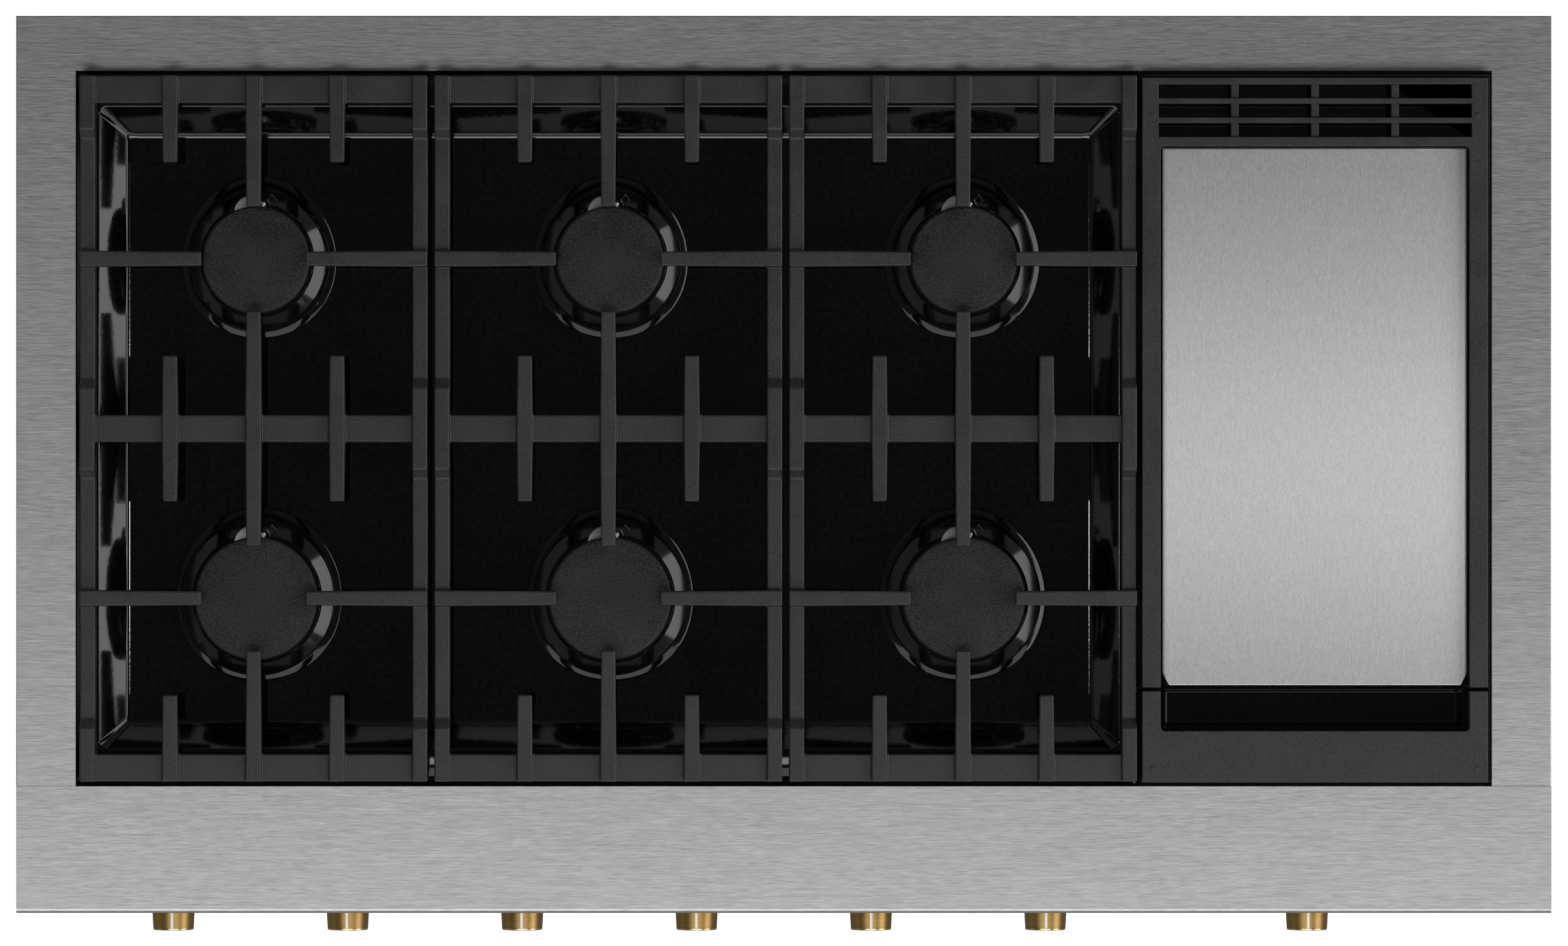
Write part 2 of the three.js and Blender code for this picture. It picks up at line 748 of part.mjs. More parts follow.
function ignitionModule() {
  const { left, right, front, back, height, ear, earHeight } = MODULE;
  const z0 = SHEET + GAP;
  const housing = block(left, right, front, back, z0, z0 + height);
  return housing.add(block(left - ear, right + ear, front, back, z0, z0 + earHeight));
}

function powerInlet() {
  const { x, z, halfWidth, halfHeight, box, boxHalfHeight, proud } = POWER_INLET;
  const { halfWidth: across, halfHeight: up, depth } = SOCKET;
  const face = WALLS.rear - SHEET - GAP;
  const seat = PAN.rear - SHEET - GAP;
  const rear = block(x - box, x + box, face - 30, seat, z - boxHalfHeight, z + boxHalfHeight);
  const noseEnd = WALLS.rear + proud;
  const nose = block(x - halfWidth, x + halfWidth, face - 10, noseEnd, z - halfHeight, z + halfHeight);
  const socket = block(x - across, x + across, WALLS.rear - depth, WALLS.rear + 2 * proud, z - up, z + up);
  return rear.add(nose).subtract(socket);
}

// Assembly
add(range, "base_pan", basePan(), galvanised);
add(range, "side_panel_left", sidePanel(-1), stainless);
add(range, "side_panel_right", sidePanel(1), stainless);
add(range, "rear_panel", rearPanel(), galvanised);
add(range, "control_panel", controlPanel(), stainless);
add(range, "front_ledge", frontLedge(), stainless);
add(range, "top_trim", topTrim(), stainless);
add(range, "spill_tray", spillTray(), blackEnamel);

const grateGeometry = geometryOf(grate());
for (const { name, x } of columns) {
  add(range, `grate_${name}`, grateGeometry, castIron, [x, GRATE.y, GRATE.seatZ]);
}

const cupGeometry = geometryOf(burnerCup());
for (const { name, x, y, size } of burners) {
  const place = placedGroup(x, y, BURNER.seatZ);
  add(place, `burner_cup_${name}`, cupGeometry, aluminium);
  add(place, `burner_head_${name}`, burnerHead(size), burnerAlloy);
  add(place, `burner_cap_${name}`, burnerCap(size), castIron);
}

add(range, "griddle_box", griddleBox(), blackEnamel);
add(range, "griddle_burner", griddleBurner(), steel);
add(range, "griddle_frame", griddleFrame(), castIron);
add(range, "griddle_front_trim", griddleFrontTrim(), castIron);
add(range, "griddle_plate", griddlePlate(), griddleSteel);
add(range, "grease_tray", greaseTray(), blackEnamel);

const knobGeometry = geometryOf(knob());
const stemGeometry = geometryOf(valveStem());
const valveGeometry = geometryOf(valveBody());
knobPositions.forEach((x, i) => {
  const place = placedGroup(x, PANEL.face, CONTROL.z);
  place.rotation.x = Math.PI / 2;
  add(place, `knob_${i + 1}`, knobGeometry, brass);
  add(place, `valve_stem_${i + 1}`, stemGeometry, steel);
  add(place, `gas_valve_${i + 1}`, valveGeometry, aluminium);
});

add(range, "gas_manifold", gasManifold(), steel);
add(range, "pressure_regulator", pressureRegulator(), aluminium);
add(range, "ignition_module", ignitionModule(), blackPlastic);
add(range, "power_inlet", powerInlet(), blackPlastic);

export default range;
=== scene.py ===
"""The looks of a built-in gas rangetop with six burners, a griddle and seven brass knobs.

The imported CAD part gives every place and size. Each sub-assembly is a class that builds its own
meshes and dresses them, and main() builds them in order. Lengths are in metres.
"""

from __future__ import annotations

import json
import logging
import math
from dataclasses import dataclass, field
from enum import Enum
from typing import Callable, Iterable, Optional, Sequence

import bmesh
import bpy
from mathutils import Matrix, Vector

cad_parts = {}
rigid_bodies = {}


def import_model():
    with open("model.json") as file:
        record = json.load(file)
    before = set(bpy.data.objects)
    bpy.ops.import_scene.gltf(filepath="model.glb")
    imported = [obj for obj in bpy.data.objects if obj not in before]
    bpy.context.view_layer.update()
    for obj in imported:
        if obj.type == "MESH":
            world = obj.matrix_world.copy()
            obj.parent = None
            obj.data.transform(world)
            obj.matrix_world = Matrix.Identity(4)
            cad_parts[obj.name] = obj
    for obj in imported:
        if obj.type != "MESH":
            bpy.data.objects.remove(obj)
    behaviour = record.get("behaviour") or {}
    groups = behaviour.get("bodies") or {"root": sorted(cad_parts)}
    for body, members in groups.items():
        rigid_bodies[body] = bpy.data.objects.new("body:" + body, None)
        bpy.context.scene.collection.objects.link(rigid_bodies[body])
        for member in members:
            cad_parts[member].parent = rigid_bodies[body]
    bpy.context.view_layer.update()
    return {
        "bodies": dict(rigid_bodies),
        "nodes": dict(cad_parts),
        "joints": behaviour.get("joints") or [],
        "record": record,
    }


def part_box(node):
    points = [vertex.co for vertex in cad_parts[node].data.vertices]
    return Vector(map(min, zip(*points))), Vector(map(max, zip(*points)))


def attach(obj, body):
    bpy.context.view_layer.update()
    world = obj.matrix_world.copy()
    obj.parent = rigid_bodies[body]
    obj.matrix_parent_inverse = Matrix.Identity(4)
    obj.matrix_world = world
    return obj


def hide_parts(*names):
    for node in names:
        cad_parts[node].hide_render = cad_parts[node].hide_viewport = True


LOG = logging.getLogger("rangetop")
MM = 0.001
CHASSIS = "chassis"
# Corners nearer than WELD are one corner, and places nearer than TOUCH count as the same.
WELD = 0.002 * MM
TOUCH = 0.01 * MM
# Faces that meet at less than this angle are facets of one round surface.
SHARP_EDGE = math.radians(12)

Point = tuple[float, float]
Place = tuple[float, float, float]
Shape = bmesh.types.BMesh
Edge = bmesh.types.BMEdge
Tree = bpy.types.NodeTree
Socket = bpy.types.NodeSocket


# ---------------------------------------------------------------------------------------------
# Nodes


def linear(hex_colour: str) -> tuple[float, float, float, float]:
    """Turns an sRGB hex colour into the linear values that a shader takes.

    Args:
        hex_colour: A colour such as "#8c6a34".

    Returns:
        Linear red, green and blue, and an alpha of 1.
    """
    values = [int(hex_colour[i : i + 2], 16) / 255 for i in (1, 3, 5)]
    red, green, blue = (v / 12.92 if v <= 0.04045 else ((v + 0.055) / 1.055) ** 2.4 for v in values)
    return red, green, blue, 1.0


def add_node(
    tree: Tree,
    kind: str,
    settings: Optional[dict] = None,
    values: Optional[dict] = None,
    links: Optional[dict] = None,
) -> bpy.types.Node:
    """Adds a node with its settings, its unlinked values and its links.

    Args:
        tree: The node tree of a material or the world.
        kind: The node's type name.
        settings: Attributes of the node itself.
        values: Input name or number to a constant.
        links: Input name or number to the output socket that feeds it.

    Returns:
        The new node.
    """
    node = tree.nodes.new(kind)
    for key, value in (settings or {}).items():
        setattr(node, key, value)
    for key, value in (values or {}).items():
        node.inputs[key].default_value = value
    for key, socket in (links or {}).items():
        tree.links.new(socket, node.inputs[key])
    return node


# ---------------------------------------------------------------------------------------------
# Finishes


@dataclass(frozen=True)
class Finish:
    """A surface with its record slot, its colours and its gloss."""

    name: str
    slot: str
    dark: str
    light: str
    roughness: float
    metallic: float = 0.0

    def dress(self, tree: Tree, shader: bpy.types.Node) -> None:
        """Adds the pattern of this finish; each kind of finish has its own."""
        raise NotImplementedError

    def material(self) -> bpy.types.Material:
        """Makes the material, or finds the one made before.

        Returns:
            The Blender material of this finish.
        """
        found = bpy.data.materials.get(self.name)
        if found:
            return found
        made = bpy.data.materials.new(self.name)
        made.use_nodes = True
        tree = made.node_tree
        shader = tree.nodes["Principled BSDF"]
        shader.inputs["Metallic"].default_value = self.metallic
        shader.inputs["Roughness"].default_value = self.roughness
        shader.inputs["Base Color"].default_value = linear(self.light)
        self.dress(tree, shader)
        return made

    def clumps(self, tree: Tree, size: Place, detail: float, seed: float = 0.0) -> Socket:
        """Strews clumps of a real size over the surface.

        Args:
            tree: The material's node tree.
            size: The length of a clump along X, Y and Z, in metres.
            detail: How many finer layers the clumps have.
            seed: Shifts the pattern, so that two of them differ.

        Returns:
            The socket that gives the pattern, from 0 to 1.
        """
        place = add_node(tree, "ShaderNodeTexCoord").outputs["Object"]
        scaled = add_node(
            tree,
            "ShaderNodeMapping",
            values={"Scale": tuple(1 / s for s in size), "Location": (seed, seed, seed)},
            links={"Vector": place},
        )
        made = add_node(
            tree,
            "ShaderNodeTexNoise",
            values={"Scale": 1.0, "Detail": detail, "Roughness": 0.55},
            links={"Vector": scaled.outputs["Vector"]},
        )
        return made.outputs["Fac"]

    def lay(
        self,
        tree: Tree,
        shader: bpy.types.Node,
        shade: Socket,
        gloss: Socket,
        swing: Point,
        reach: float = 0.2,
    ) -> None:
        """Turns two patterns into the colour and the gloss of the surface.

        Args:
            tree: The material's node tree.
            shader: Its Principled shader.
            shade: The pattern of the colour, from 0 to 1.
            gloss: The pattern of the roughness, from 0 to 1.
            swing: How far the roughness goes below and above its middle.
            reach: How far from the middle of its pattern each colour is reached.
        """
        ramp = add_node(tree, "ShaderNodeValToRGB", links={"Fac": shade})
        first, last = ramp.color_ramp.elements
        first.position, last.position = 0.5 - reach, 0.5 + reach
        first.color, last.color = linear(self.dark), linear(self.light)
        tree.links.new(ramp.outputs["Color"], shader.inputs["Base Color"])
        below, above = swing
        # A noise seldom leaves the middle of its range, so that part is spread over the whole swing.
        rough = add_node(
            tree,
            "ShaderNodeMapRange",
            values={
                "From Min": 0.3,
                "From Max": 0.7,
                "To Min": self.roughness - below,
                "To Max": min(1.0, self.roughness + above),
            },
            links={"Value": gloss},
        )
        tree.links.new(rough.outputs["Result"], shader.inputs["Roughness"])


class Grain(Enum):
    """The way that a brushed or drawn surface's lines run, as clump lengths along X, Y and Z."""

    ACROSS = (11 * MM, 0.34 * MM, 0.34 * MM)
    BACKWARDS = (0.45 * MM, 2.6 * MM, 0.45 * MM)
    ROUND_Y = (60 * MM, 0.35 * MM, 60 * MM)


@dataclass(frozen=True)
class BrushedMetal(Finish):
    """Belt-brushed or turned metal: fine scratches along one way, which spread a reflection across them."""

    grain: Grain = Grain.ACROSS
    streak: float = 0.05
    relief: float = 0.006 * MM
    coarser: float = 5.0
    coarse_share: float = 0.2
    anisotropic: float = 0.0
    tangent: Place = (0.0, 0.0, 0.0)

    def dress(self, tree: Tree, shader: bpy.types.Node) -> None:
        """Adds the scratches, in colour, gloss and relief.

        Args:
            tree: The material's node tree.
            shader: Its Principled shader.
        """
        # The real scratches are a tenth of a millimetre wide; these are as coarse as they need to show.
        fine = self.clumps(tree, self.grain.value, detail=1.5)
        broad = self.clumps(tree, tuple(self.coarser * s for s in self.grain.value), detail=1.0, seed=7.0)
        shade = add_node(
            tree,
            "ShaderNodeMix",
            {"data_type": "FLOAT"},
            {"Factor": self.coarse_share},
            {"A": fine, "B": broad},
        )
        self.lay(tree, shader, shade.outputs["Result"], fine, (self.streak, self.streak))
        scratches = add_node(
            tree,
            "ShaderNodeBump",
            values={"Strength": 1.0, "Distance": self.relief},
            links={"Height": fine},
        )
        tree.links.new(scratches.outputs["Normal"], shader.inputs["Normal"])
        if self.anisotropic:
            shader.inputs["Anisotropic"].default_value = self.anisotropic
            lengthwise = add_node(tree, "ShaderNodeCombineXYZ", values=dict(enumerate(self.tangent)))
            tree.links.new(lengthwise.outputs["Vector"], shader.inputs["Tangent"])


@dataclass(frozen=True)
class GrainedFinish(Finish):
    """A sand-cast, moulded or enamelled surface: small even clumps in colour, gloss and relief."""

    clump: float = 1.0 * MM
    relief: float = 0.05 * MM
    blotch: float = 30 * MM
    blotch_share: float = 0.2
    detail: float = 2.0
    specular: float = 0.5

    def dress(self, tree: Tree, shader: bpy.types.Node) -> None:
        """Adds the grain and the slow blotches of an uneven coat.

        Args:
            tree: The material's node tree.
            shader: Its Principled shader.
        """
        grain = self.clumps(tree, (self.clump,) * 3, detail=self.detail)
        blotches = self.clumps(tree, (self.blotch,) * 3, detail=1.0, seed=3.0)
        shade = add_node(
            tree,
            "ShaderNodeMix",
            {"data_type": "FLOAT"},
            {"Factor": self.blotch_share},
            {"A": grain, "B": blotches},
        )
        swing = 0.1 * self.roughness
        self.lay(tree, shader, shade.outputs["Result"], blotches, (swing, swing), reach=0.11)
        bumps = add_node(
            tree,
            "ShaderNodeBump",
            values={"Strength": 1.0, "Distance": self.relief},
            links={"Height": grain},
        )
        tree.links.new(bumps.outputs["Normal"], shader.inputs["Normal"])
        shader.inputs["Specular IOR Level"].default_value = self.specular


@dataclass(frozen=True)
class SpangledZinc(Finish):
    """Hot-dip galvanised sheet: flat crystals of zinc, each a slightly different grey."""

    spangle: float = 11 * MM

    def dress(self, tree: Tree, shader: bpy.types.Node) -> None:
        """Adds the crystals, in colour and gloss.

        Args:
            tree: The material's node tree.
            shader: Its Principled shader.
        """
        place = add_node(tree, "ShaderNodeTexCoord").outputs["Object"]
        cells = add_node(
            tree,
            "ShaderNodeTexVoronoi",
            values={"Scale": 1 / self.spangle},
            links={"Vector": place},
        )
        grey = add_node(tree, "ShaderNodeRGBToBW", links={"Color": cells.outputs["Color"]}).outputs["Val"]
        self.lay(tree, shader, grey, grey, (0.06, 0.08))


# Sheet of stainless steel, belt-brushed across the rangetop: a clean mid grey with short level streaks,
# and each light drawn out from front to rear.
STAINLESS = BrushedMetal(
    "brushed_stainless_steel",
    "brushed_stainless",
    "#a2a2a3",
    "#cdcdce",
    0.33,
    1.0,
    streak=0.03,
    anisotropic=0.6,
    tangent=(0.0, 1.0, 0.0),
)
# Thick steel plate, ground from front to rear and then oiled: paler than the sheet, with a fine nap that
# runs backwards and draws each light out sideways into one wide soft band.
GRIDDLE_STEEL = BrushedMetal(
    "ground_griddle_steel",
    "griddle_steel",
    "#aeaeae",
    "#c9c9c9",
    0.35,
    1.0,
    grain=Grain.BACKWARDS,
    streak=0.02,
    anisotropic=0.98,
    tangent=(1.0, 0.0, 0.0),
)
# Solid brass, turned on a lathe and left satin: old gold that falls off to brown at the sides, with faint
# rings round the axis.
BRASS = BrushedMetal(
    "satin_turned_brass",
    "brass",
    "#8f7342",
    "#a98c55",
    0.36,
    1.0,
    grain=Grain.ROUND_Y,
    streak=0.03,
)
# The same brass, polished at the rim of the face and sharper in its reflections; its paler colour is a
# painted highlight, a ring of light painted into the brass.
BRASS_RIM_PAINTED_HIGHLIGHT = BrushedMetal(
    "polished_brass_painted_highlight",
    "brass",
    "#bfa670",
    "#d3bd8a",
    0.24,
    1.0,
    grain=Grain.ROUND_Y,
)
# Grey iron cast in sand, under matt black enamel: near black and dull, with the sand's grit showing
# through. The grit is a third of a millimetre across and is drawn as coarse as it needs to show.
CAST_IRON = GrainedFinish(
    "enamelled_cast_iron",
    "cast_iron",
    "#0a0a0a",
    "#2e2d2c",
    0.5,
    clump=0.8 * MM,
    relief=0.18 * MM,
)
# Pressed steel under thick matt enamel that dried like orange peel: a black that the bumps speckle. The
# bumps are drawn as coarse as they need to show.
CAP_ENAMEL = GrainedFinish(
    "orange_peel_cap_enamel",
    "cap_enamel",
    "#030303",
    "#2f3030",
    0.5,
    clump=0.85 * MM,
    relief=0.34 * MM,
    detail=1.0,
    specular=0.25,
)
# Drawn steel sheet under porcelain enamel, a fired glass: deep black with a cold cast, as smooth as a
# mirror but for its slow waves, so that it shows the lights as thin lines and crescents.
TRAY_ENAMEL = GrainedFinish(
    "gloss_black_porcelain_enamel",
    "black_enamel",
    "#020203",
    "#0a0b0e",
    0.07,
    clump=4 * MM,
    relief=0.02 * MM,
    blotch=60 * MM,
)
# The same fired glass on a casting: black, and a little softer in its reflections.
BURNER_ENAMEL = GrainedFinish(
    "gloss_black_burner_enamel",
    "burner_enamel",
    "#040405",
    "#08080a",
    0.1,
    clump=14 * MM,
    relief=0.02 * MM,
)
# Aluminium, die-cast and left bare: pale grey, half dull and faintly clouded.
ALUMINIUM = GrainedFinish(
    "die_cast_aluminium",
    "cast_aluminium",
    "#9c9ea0",
    "#b9bbbd",
    0.36,
    1.0,
    clump=1.2 * MM,
    relief=0.02 * MM,
)
# Steel tube and rod, cold-drawn: an even mid grey with a soft shine.
PLAIN_STEEL = GrainedFinish(
    "drawn_steel", "plain_steel", "#86888a", "#a2a4a6", 0.32, 1.0, clump=2.0 * MM, relief=0.01 * MM
)
# Nylon, moulded in a spark-eroded tool: soft black with a fine matt grain.
PLASTIC = GrainedFinish("moulded_black_nylon", "black_plastic", "#121314", "#1b1c1d", 0.5, clump=0.9 * MM)
# Alumina ceramic, glazed and fired: warm white with a wet gloss.
CERAMIC = GrainedFinish(
    "glazed_electrode_ceramic", "cast_aluminium", "#dcdad4", "#efede8", 0.22, clump=3 * MM, relief=0.01 * MM
)
# Enamel paint, filled into the knob's line: plain bright white, slightly glossy.
POINTER_PAINT = GrainedFinish("white_pointer_enamel", "brass", "#f8f8f7", "#ffffff", 0.35, clump=1.5 * MM)
# Ink, screen-printed on the panel: flat dark grey with soft mottling.
MARK_PAINT = GrainedFinish("dark_printed_ink", "black_plastic", "#1a1b1c", "#2a2b2c", 0.5, clump=0.8 * MM)
# Sheet steel, galvanised in a bath of zinc: cool grey crystals, each with its own tone and sheen.
ZINC = SpangledZinc("galvanised_sheet", "galvanised_steel", "#868b8f", "#a3a8ac", 0.42, 1.0)


# ---------------------------------------------------------------------------------------------
# Meshes


def show(
    name: str,
    mesh: Shape,
    finish: Finish,
    body: str,
    replaces: Sequence[str] = (),
    crease: float = 38.0,
    weighted: bool = False,
) -> bpy.types.Object:
    """Makes a finished piece from a bmesh and lets it ride on a CAD body.

    Args:
        name: The piece's name.
        mesh: Its shape, which is freed here.
        finish: Its surface.
        body: The CAD body that it moves with.
        replaces: The CAD nodes that it stands for.
        crease: Edges sharper than this many degrees stay sharp.
        weighted: Whether large faces keep their shading flat next to rounded edges.

    Returns:
        The new object.
    """
    for face in mesh.faces:
        face.smooth = True
    for edge in mesh.edges:
        edge.smooth = edge.calc_face_angle(0.0) < math.radians(crease)
    data = bpy.data.meshes.new(name)
    mesh.to_mesh(data)
    mesh.free()
    piece = bpy.data.objects.new(name, data)
    bpy.context.scene.collection.objects.link(piece)
    data.materials.append(finish.material())
    if weighted:
        piece.modifiers.new("flat_faces", "WEIGHTED_NORMAL").keep_sharp = True
    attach(piece, body)
    if replaces:
        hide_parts(*replaces)
    LOG.info("%s: %d faces on %s", name, len(data.polygons), body)
    return piece


def round_corners(mesh: Shape, corners: Sequence[bmesh.types.BMVert], radius: float, steps: int) -> None:
    """Rounds corners of an outline.

    Args:
        mesh: The shape that holds the outline.
        corners: The corners to round.
        radius: How far the rounding reaches from each corner.
        steps: How many edges each rounding has.
    """
    bmesh.ops.bevel(
        mesh,
        geom=corners,
        offset=radius,
        offset_type="OFFSET",
        segments=steps,
        profile=0.5,
        affect="VERTICES",
        material=-1,
    )


def bridge(mesh: Shape, rings: Sequence[list[Edge]]) -> None:
    """Lays faces between each ring of edges and the next.

    Args:
        mesh: The shape that holds the rings.
        rings: The rings, in order.
    """
    for outer, inner in zip(rings, rings[1:]):
        bmesh.ops.bridge_loops(mesh, edges=outer + inner)


def turned(
    profile: Sequence[Point],
    segments: int,
    fillets: Optional[dict[int, float]] = None,
    fillet_steps: int = 4,
) -> Shape:
    """Spins a half section about the Z axis.

    Args:
        profile: Radius and height of each corner.
        segments: How many steps make the full turn.
        fillets: Corner number to the radius that rounds it.
        fillet_steps: How many edges a rounded corner has.

    Returns:
        A closed shape with its normals pointing out.
    """
    mesh = bmesh.new()
    corners = [mesh.verts.new((radius, 0, height)) for radius, height in profile]
    for pair in zip(corners, corners[1:]):
        mesh.edges.new(pair)
    for number, radius in (fillets or {}).items():
        round_corners(mesh, [corners[number]], radius, fillet_steps)
    bmesh.ops.spin(
        mesh,
        geom=list(mesh.verts) + list(mesh.edges),
        cent=(0, 0, 0),
        axis=(0, 0, 1),
        angle=2 * math.pi,
        steps=segments,
        use_merge=True,
    )
    bmesh.ops.remove_doubles(mesh, verts=mesh.verts, dist=WELD)
    bmesh.ops.recalc_face_normals(mesh, faces=mesh.faces)
    return mesh


def cuboid(low: Place, high: Place) -> Shape:
    """Makes a box between two corners.

    Args:
        low: Its lowest corner.
        high: Its highest corner.

    Returns:
        The box.
    """
    mesh = bmesh.new()
    bmesh.ops.create_cube(mesh, size=1.0)
    size = Vector(high) - Vector(low)
    bmesh.ops.scale(mesh, vec=size, verts=mesh.verts)
    bmesh.ops.translate(mesh, vec=(Vector(low) + Vector(high)) / 2, verts=mesh.verts)
    return mesh


def soften(
    mesh: Shape,
    radius: float,
    steps: int = 2,
    pick: Callable[[Edge], bool] = lambda edge: True,
    clamp: bool = True,
) -> Shape:
    """Rounds the edges where two faces meet at an angle.

    Args:
        mesh: The shape to change.
        radius: How far the rounding reaches from the edge.
        steps: How many faces it has.
        pick: Says which of the sharp edges are rounded.
        clamp: Whether the radius gives way where an edge is short.

    Returns:
        The same shape.
    """
    sharp = [e for e in mesh.edges if len(e.link_faces) == 2 and e.calc_face_angle(0.0) > SHARP_EDGE]
    bmesh.ops.bevel(
        mesh,
        geom=[e for e in sharp if pick(e)],
        offset=radius,
        offset_type="OFFSET",
        segments=steps,
        profile=0.5,
        affect="EDGES",
        clamp_overlap=clamp,
        material=-1,
    )
    return mesh


def copy_of(frame: dict, node: str) -> Shape:
    """Copies a CAD node, with its corners joined and its flat faces made whole.

    Args:
        node: The CAD node's name.

    Returns:
        The copy.
    """
    mesh = bmesh.new()
    mesh.from_mesh(frame["nodes"][node].data)
    bmesh.ops.remove_doubles(mesh, verts=mesh.verts, dist=WELD)
    bmesh.ops.dissolve_limit(
        mesh,
        angle_limit=math.radians(0.5),
        verts=mesh.verts,
        edges=mesh.edges,
    )
    return mesh


def moved(mesh: Shape, to: Sequence[float], turn: Optional[Matrix] = None) -> Shape:
    """Turns a shape about the origin and then moves it.

    Args:
        mesh: The shape.
        to: Where its origin goes.
        turn: A rotation, if it is turned first.

    Returns:
        The same shape.
    """
    if turn is not None:
        bmesh.ops.transform(mesh, matrix=turn, verts=mesh.verts)
    bmesh.ops.translate(mesh, vec=Vector(to), verts=mesh.verts)
    return mesh


def joined(meshes: Iterable[Shape]) -> Shape:
    """Puts several shapes in one mesh and frees them.

    Args:
        meshes: The shapes.

    Returns:
        One bmesh that holds them all.
    """
    whole = bmesh.new()
    for mesh in meshes:
        data = bpy.data.meshes.new("joined")
        mesh.to_mesh(data)
        mesh.free()
        whole.from_mesh(data)
        bpy.data.meshes.remove(data)
    return whole


def screw_head(radius: float, height: float) -> Shape:
    """Makes a pan head with a hexagon socket, standing on Z = 0.

    Args:
        radius: The head's radius.
        height: The head's height.

    Returns:
        The head.
    """
    socket, bottom = radius * 0.45, height * 0.45
    profile = [(0, bottom), (socket, bottom), (socket, height), (radius, height), (radius, 0), (0, 0)]
    head = turned(profile, 24, {3: height * 0.6}, 3)
    for vert in head.verts:
        if abs(math.hypot(vert.co.x, vert.co.y) - socket) < TOUCH:
            angle = math.atan2(vert.co.y, vert.co.x)
            side = (angle % (math.pi / 3)) - math.pi / 6
            scale = math.cos(math.pi / 6) / math.cos(side)
            vert.co.x *= scale
            vert.co.y *= scale
    return head


TO_FRONT = Matrix.Rotation(math.pi / 2, 4, "X")
TO_REAR = Matrix.Rotation(-math.pi / 2, 4, "X")
TO_RIGHT = Matrix.Rotation(math.pi / 2, 4, "Y")
TO_LEFT = Matrix.Rotation(-math.pi / 2, 4, "Y")


# ---------------------------------------------------------------------------------------------
# Sub-assemblies


@dataclass
class Surround:
    """The stainless sheet round the cooking area and the landing ledge in front of it."""

    frame: dict
    front_fold: float = 3.4 * MM
    front_steps: int = 8
    fold: float = 1.0 * MM
    fold_steps: int = 5
    edge: float = 0.6 * MM
    edge_steps: int = 2
    front: float = field(init=False)
    rear: float = field(init=False)

    def __post_init__(self) -> None:
        """Takes the front of the ledge and the rear of the trim from their CAD nodes."""
        self.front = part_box("front_ledge")[0].y
        self.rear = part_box("top_trim")[1].y

    def build(self) -> None:
        """Builds both sheets with their folds rounded."""
        for node in ("top_trim", "front_ledge"):
            low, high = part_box(node)
            mesh = copy_of(self.frame, node)
            soften(mesh, self.front_fold, self.front_steps, lambda e: self._is_front_fold(e, high))
            soften(mesh, self.fold, self.fold_steps, lambda e: self._is_fold(e, low, high))
            soften(mesh, self.edge, self.edge_steps, lambda e: self._is_inner_edge(e, high))
            show(f"{node}_sheet", mesh, STAINLESS, CHASSIS, [node], weighted=True)

    def _is_front_fold(self, edge: Edge, high: Vector) -> bool:
        """Tells whether an edge is the long fold along the front of the ledge.

        Args:
            edge: The edge to look at.
            high: The node's highest corner.

        Returns:
            True for the fold nearest the cook.
        """
        ends = [v.co for v in edge.verts]
        return all(abs(p.z - high.z) < TOUCH and abs(p.y - self.front) < TOUCH for p in ends)

    def _is_fold(self, edge: Edge, low: Vector, high: Vector) -> bool:
        """Tells whether an edge is a fold of the top at the left, the right or the rear.

        Args:
            edge: The edge to look at.
            low: The node's lowest corner.
            high: The node's highest corner.

        Returns:
            True for a fold along the left, right or rear of the top face.
        """
        ends = [v.co for v in edge.verts]
        if any(abs(p.z - high.z) > TOUCH for p in ends):
            return False
        left = all(abs(p.x - low.x) < TOUCH for p in ends)
        right = all(abs(p.x - high.x) < TOUCH for p in ends)
        return left or right or all(abs(p.y - self.rear) < TOUCH for p in ends)

    def _is_inner_edge(self, edge: Edge, high: Vector) -> bool:
        """Tells whether an edge is the top edge of a cut or of the seam.

        Args:
            edge: The edge to look at.
            high: The node's highest corner.

        Returns:
            True for a square and long edge of the top face.
        """
        level = all(abs(v.co.z - high.z) < TOUCH for v in edge.verts)
        square = edge.calc_face_angle(0.0) > math.radians(60)
        return level and square and edge.calc_length() > 4 * self.edge


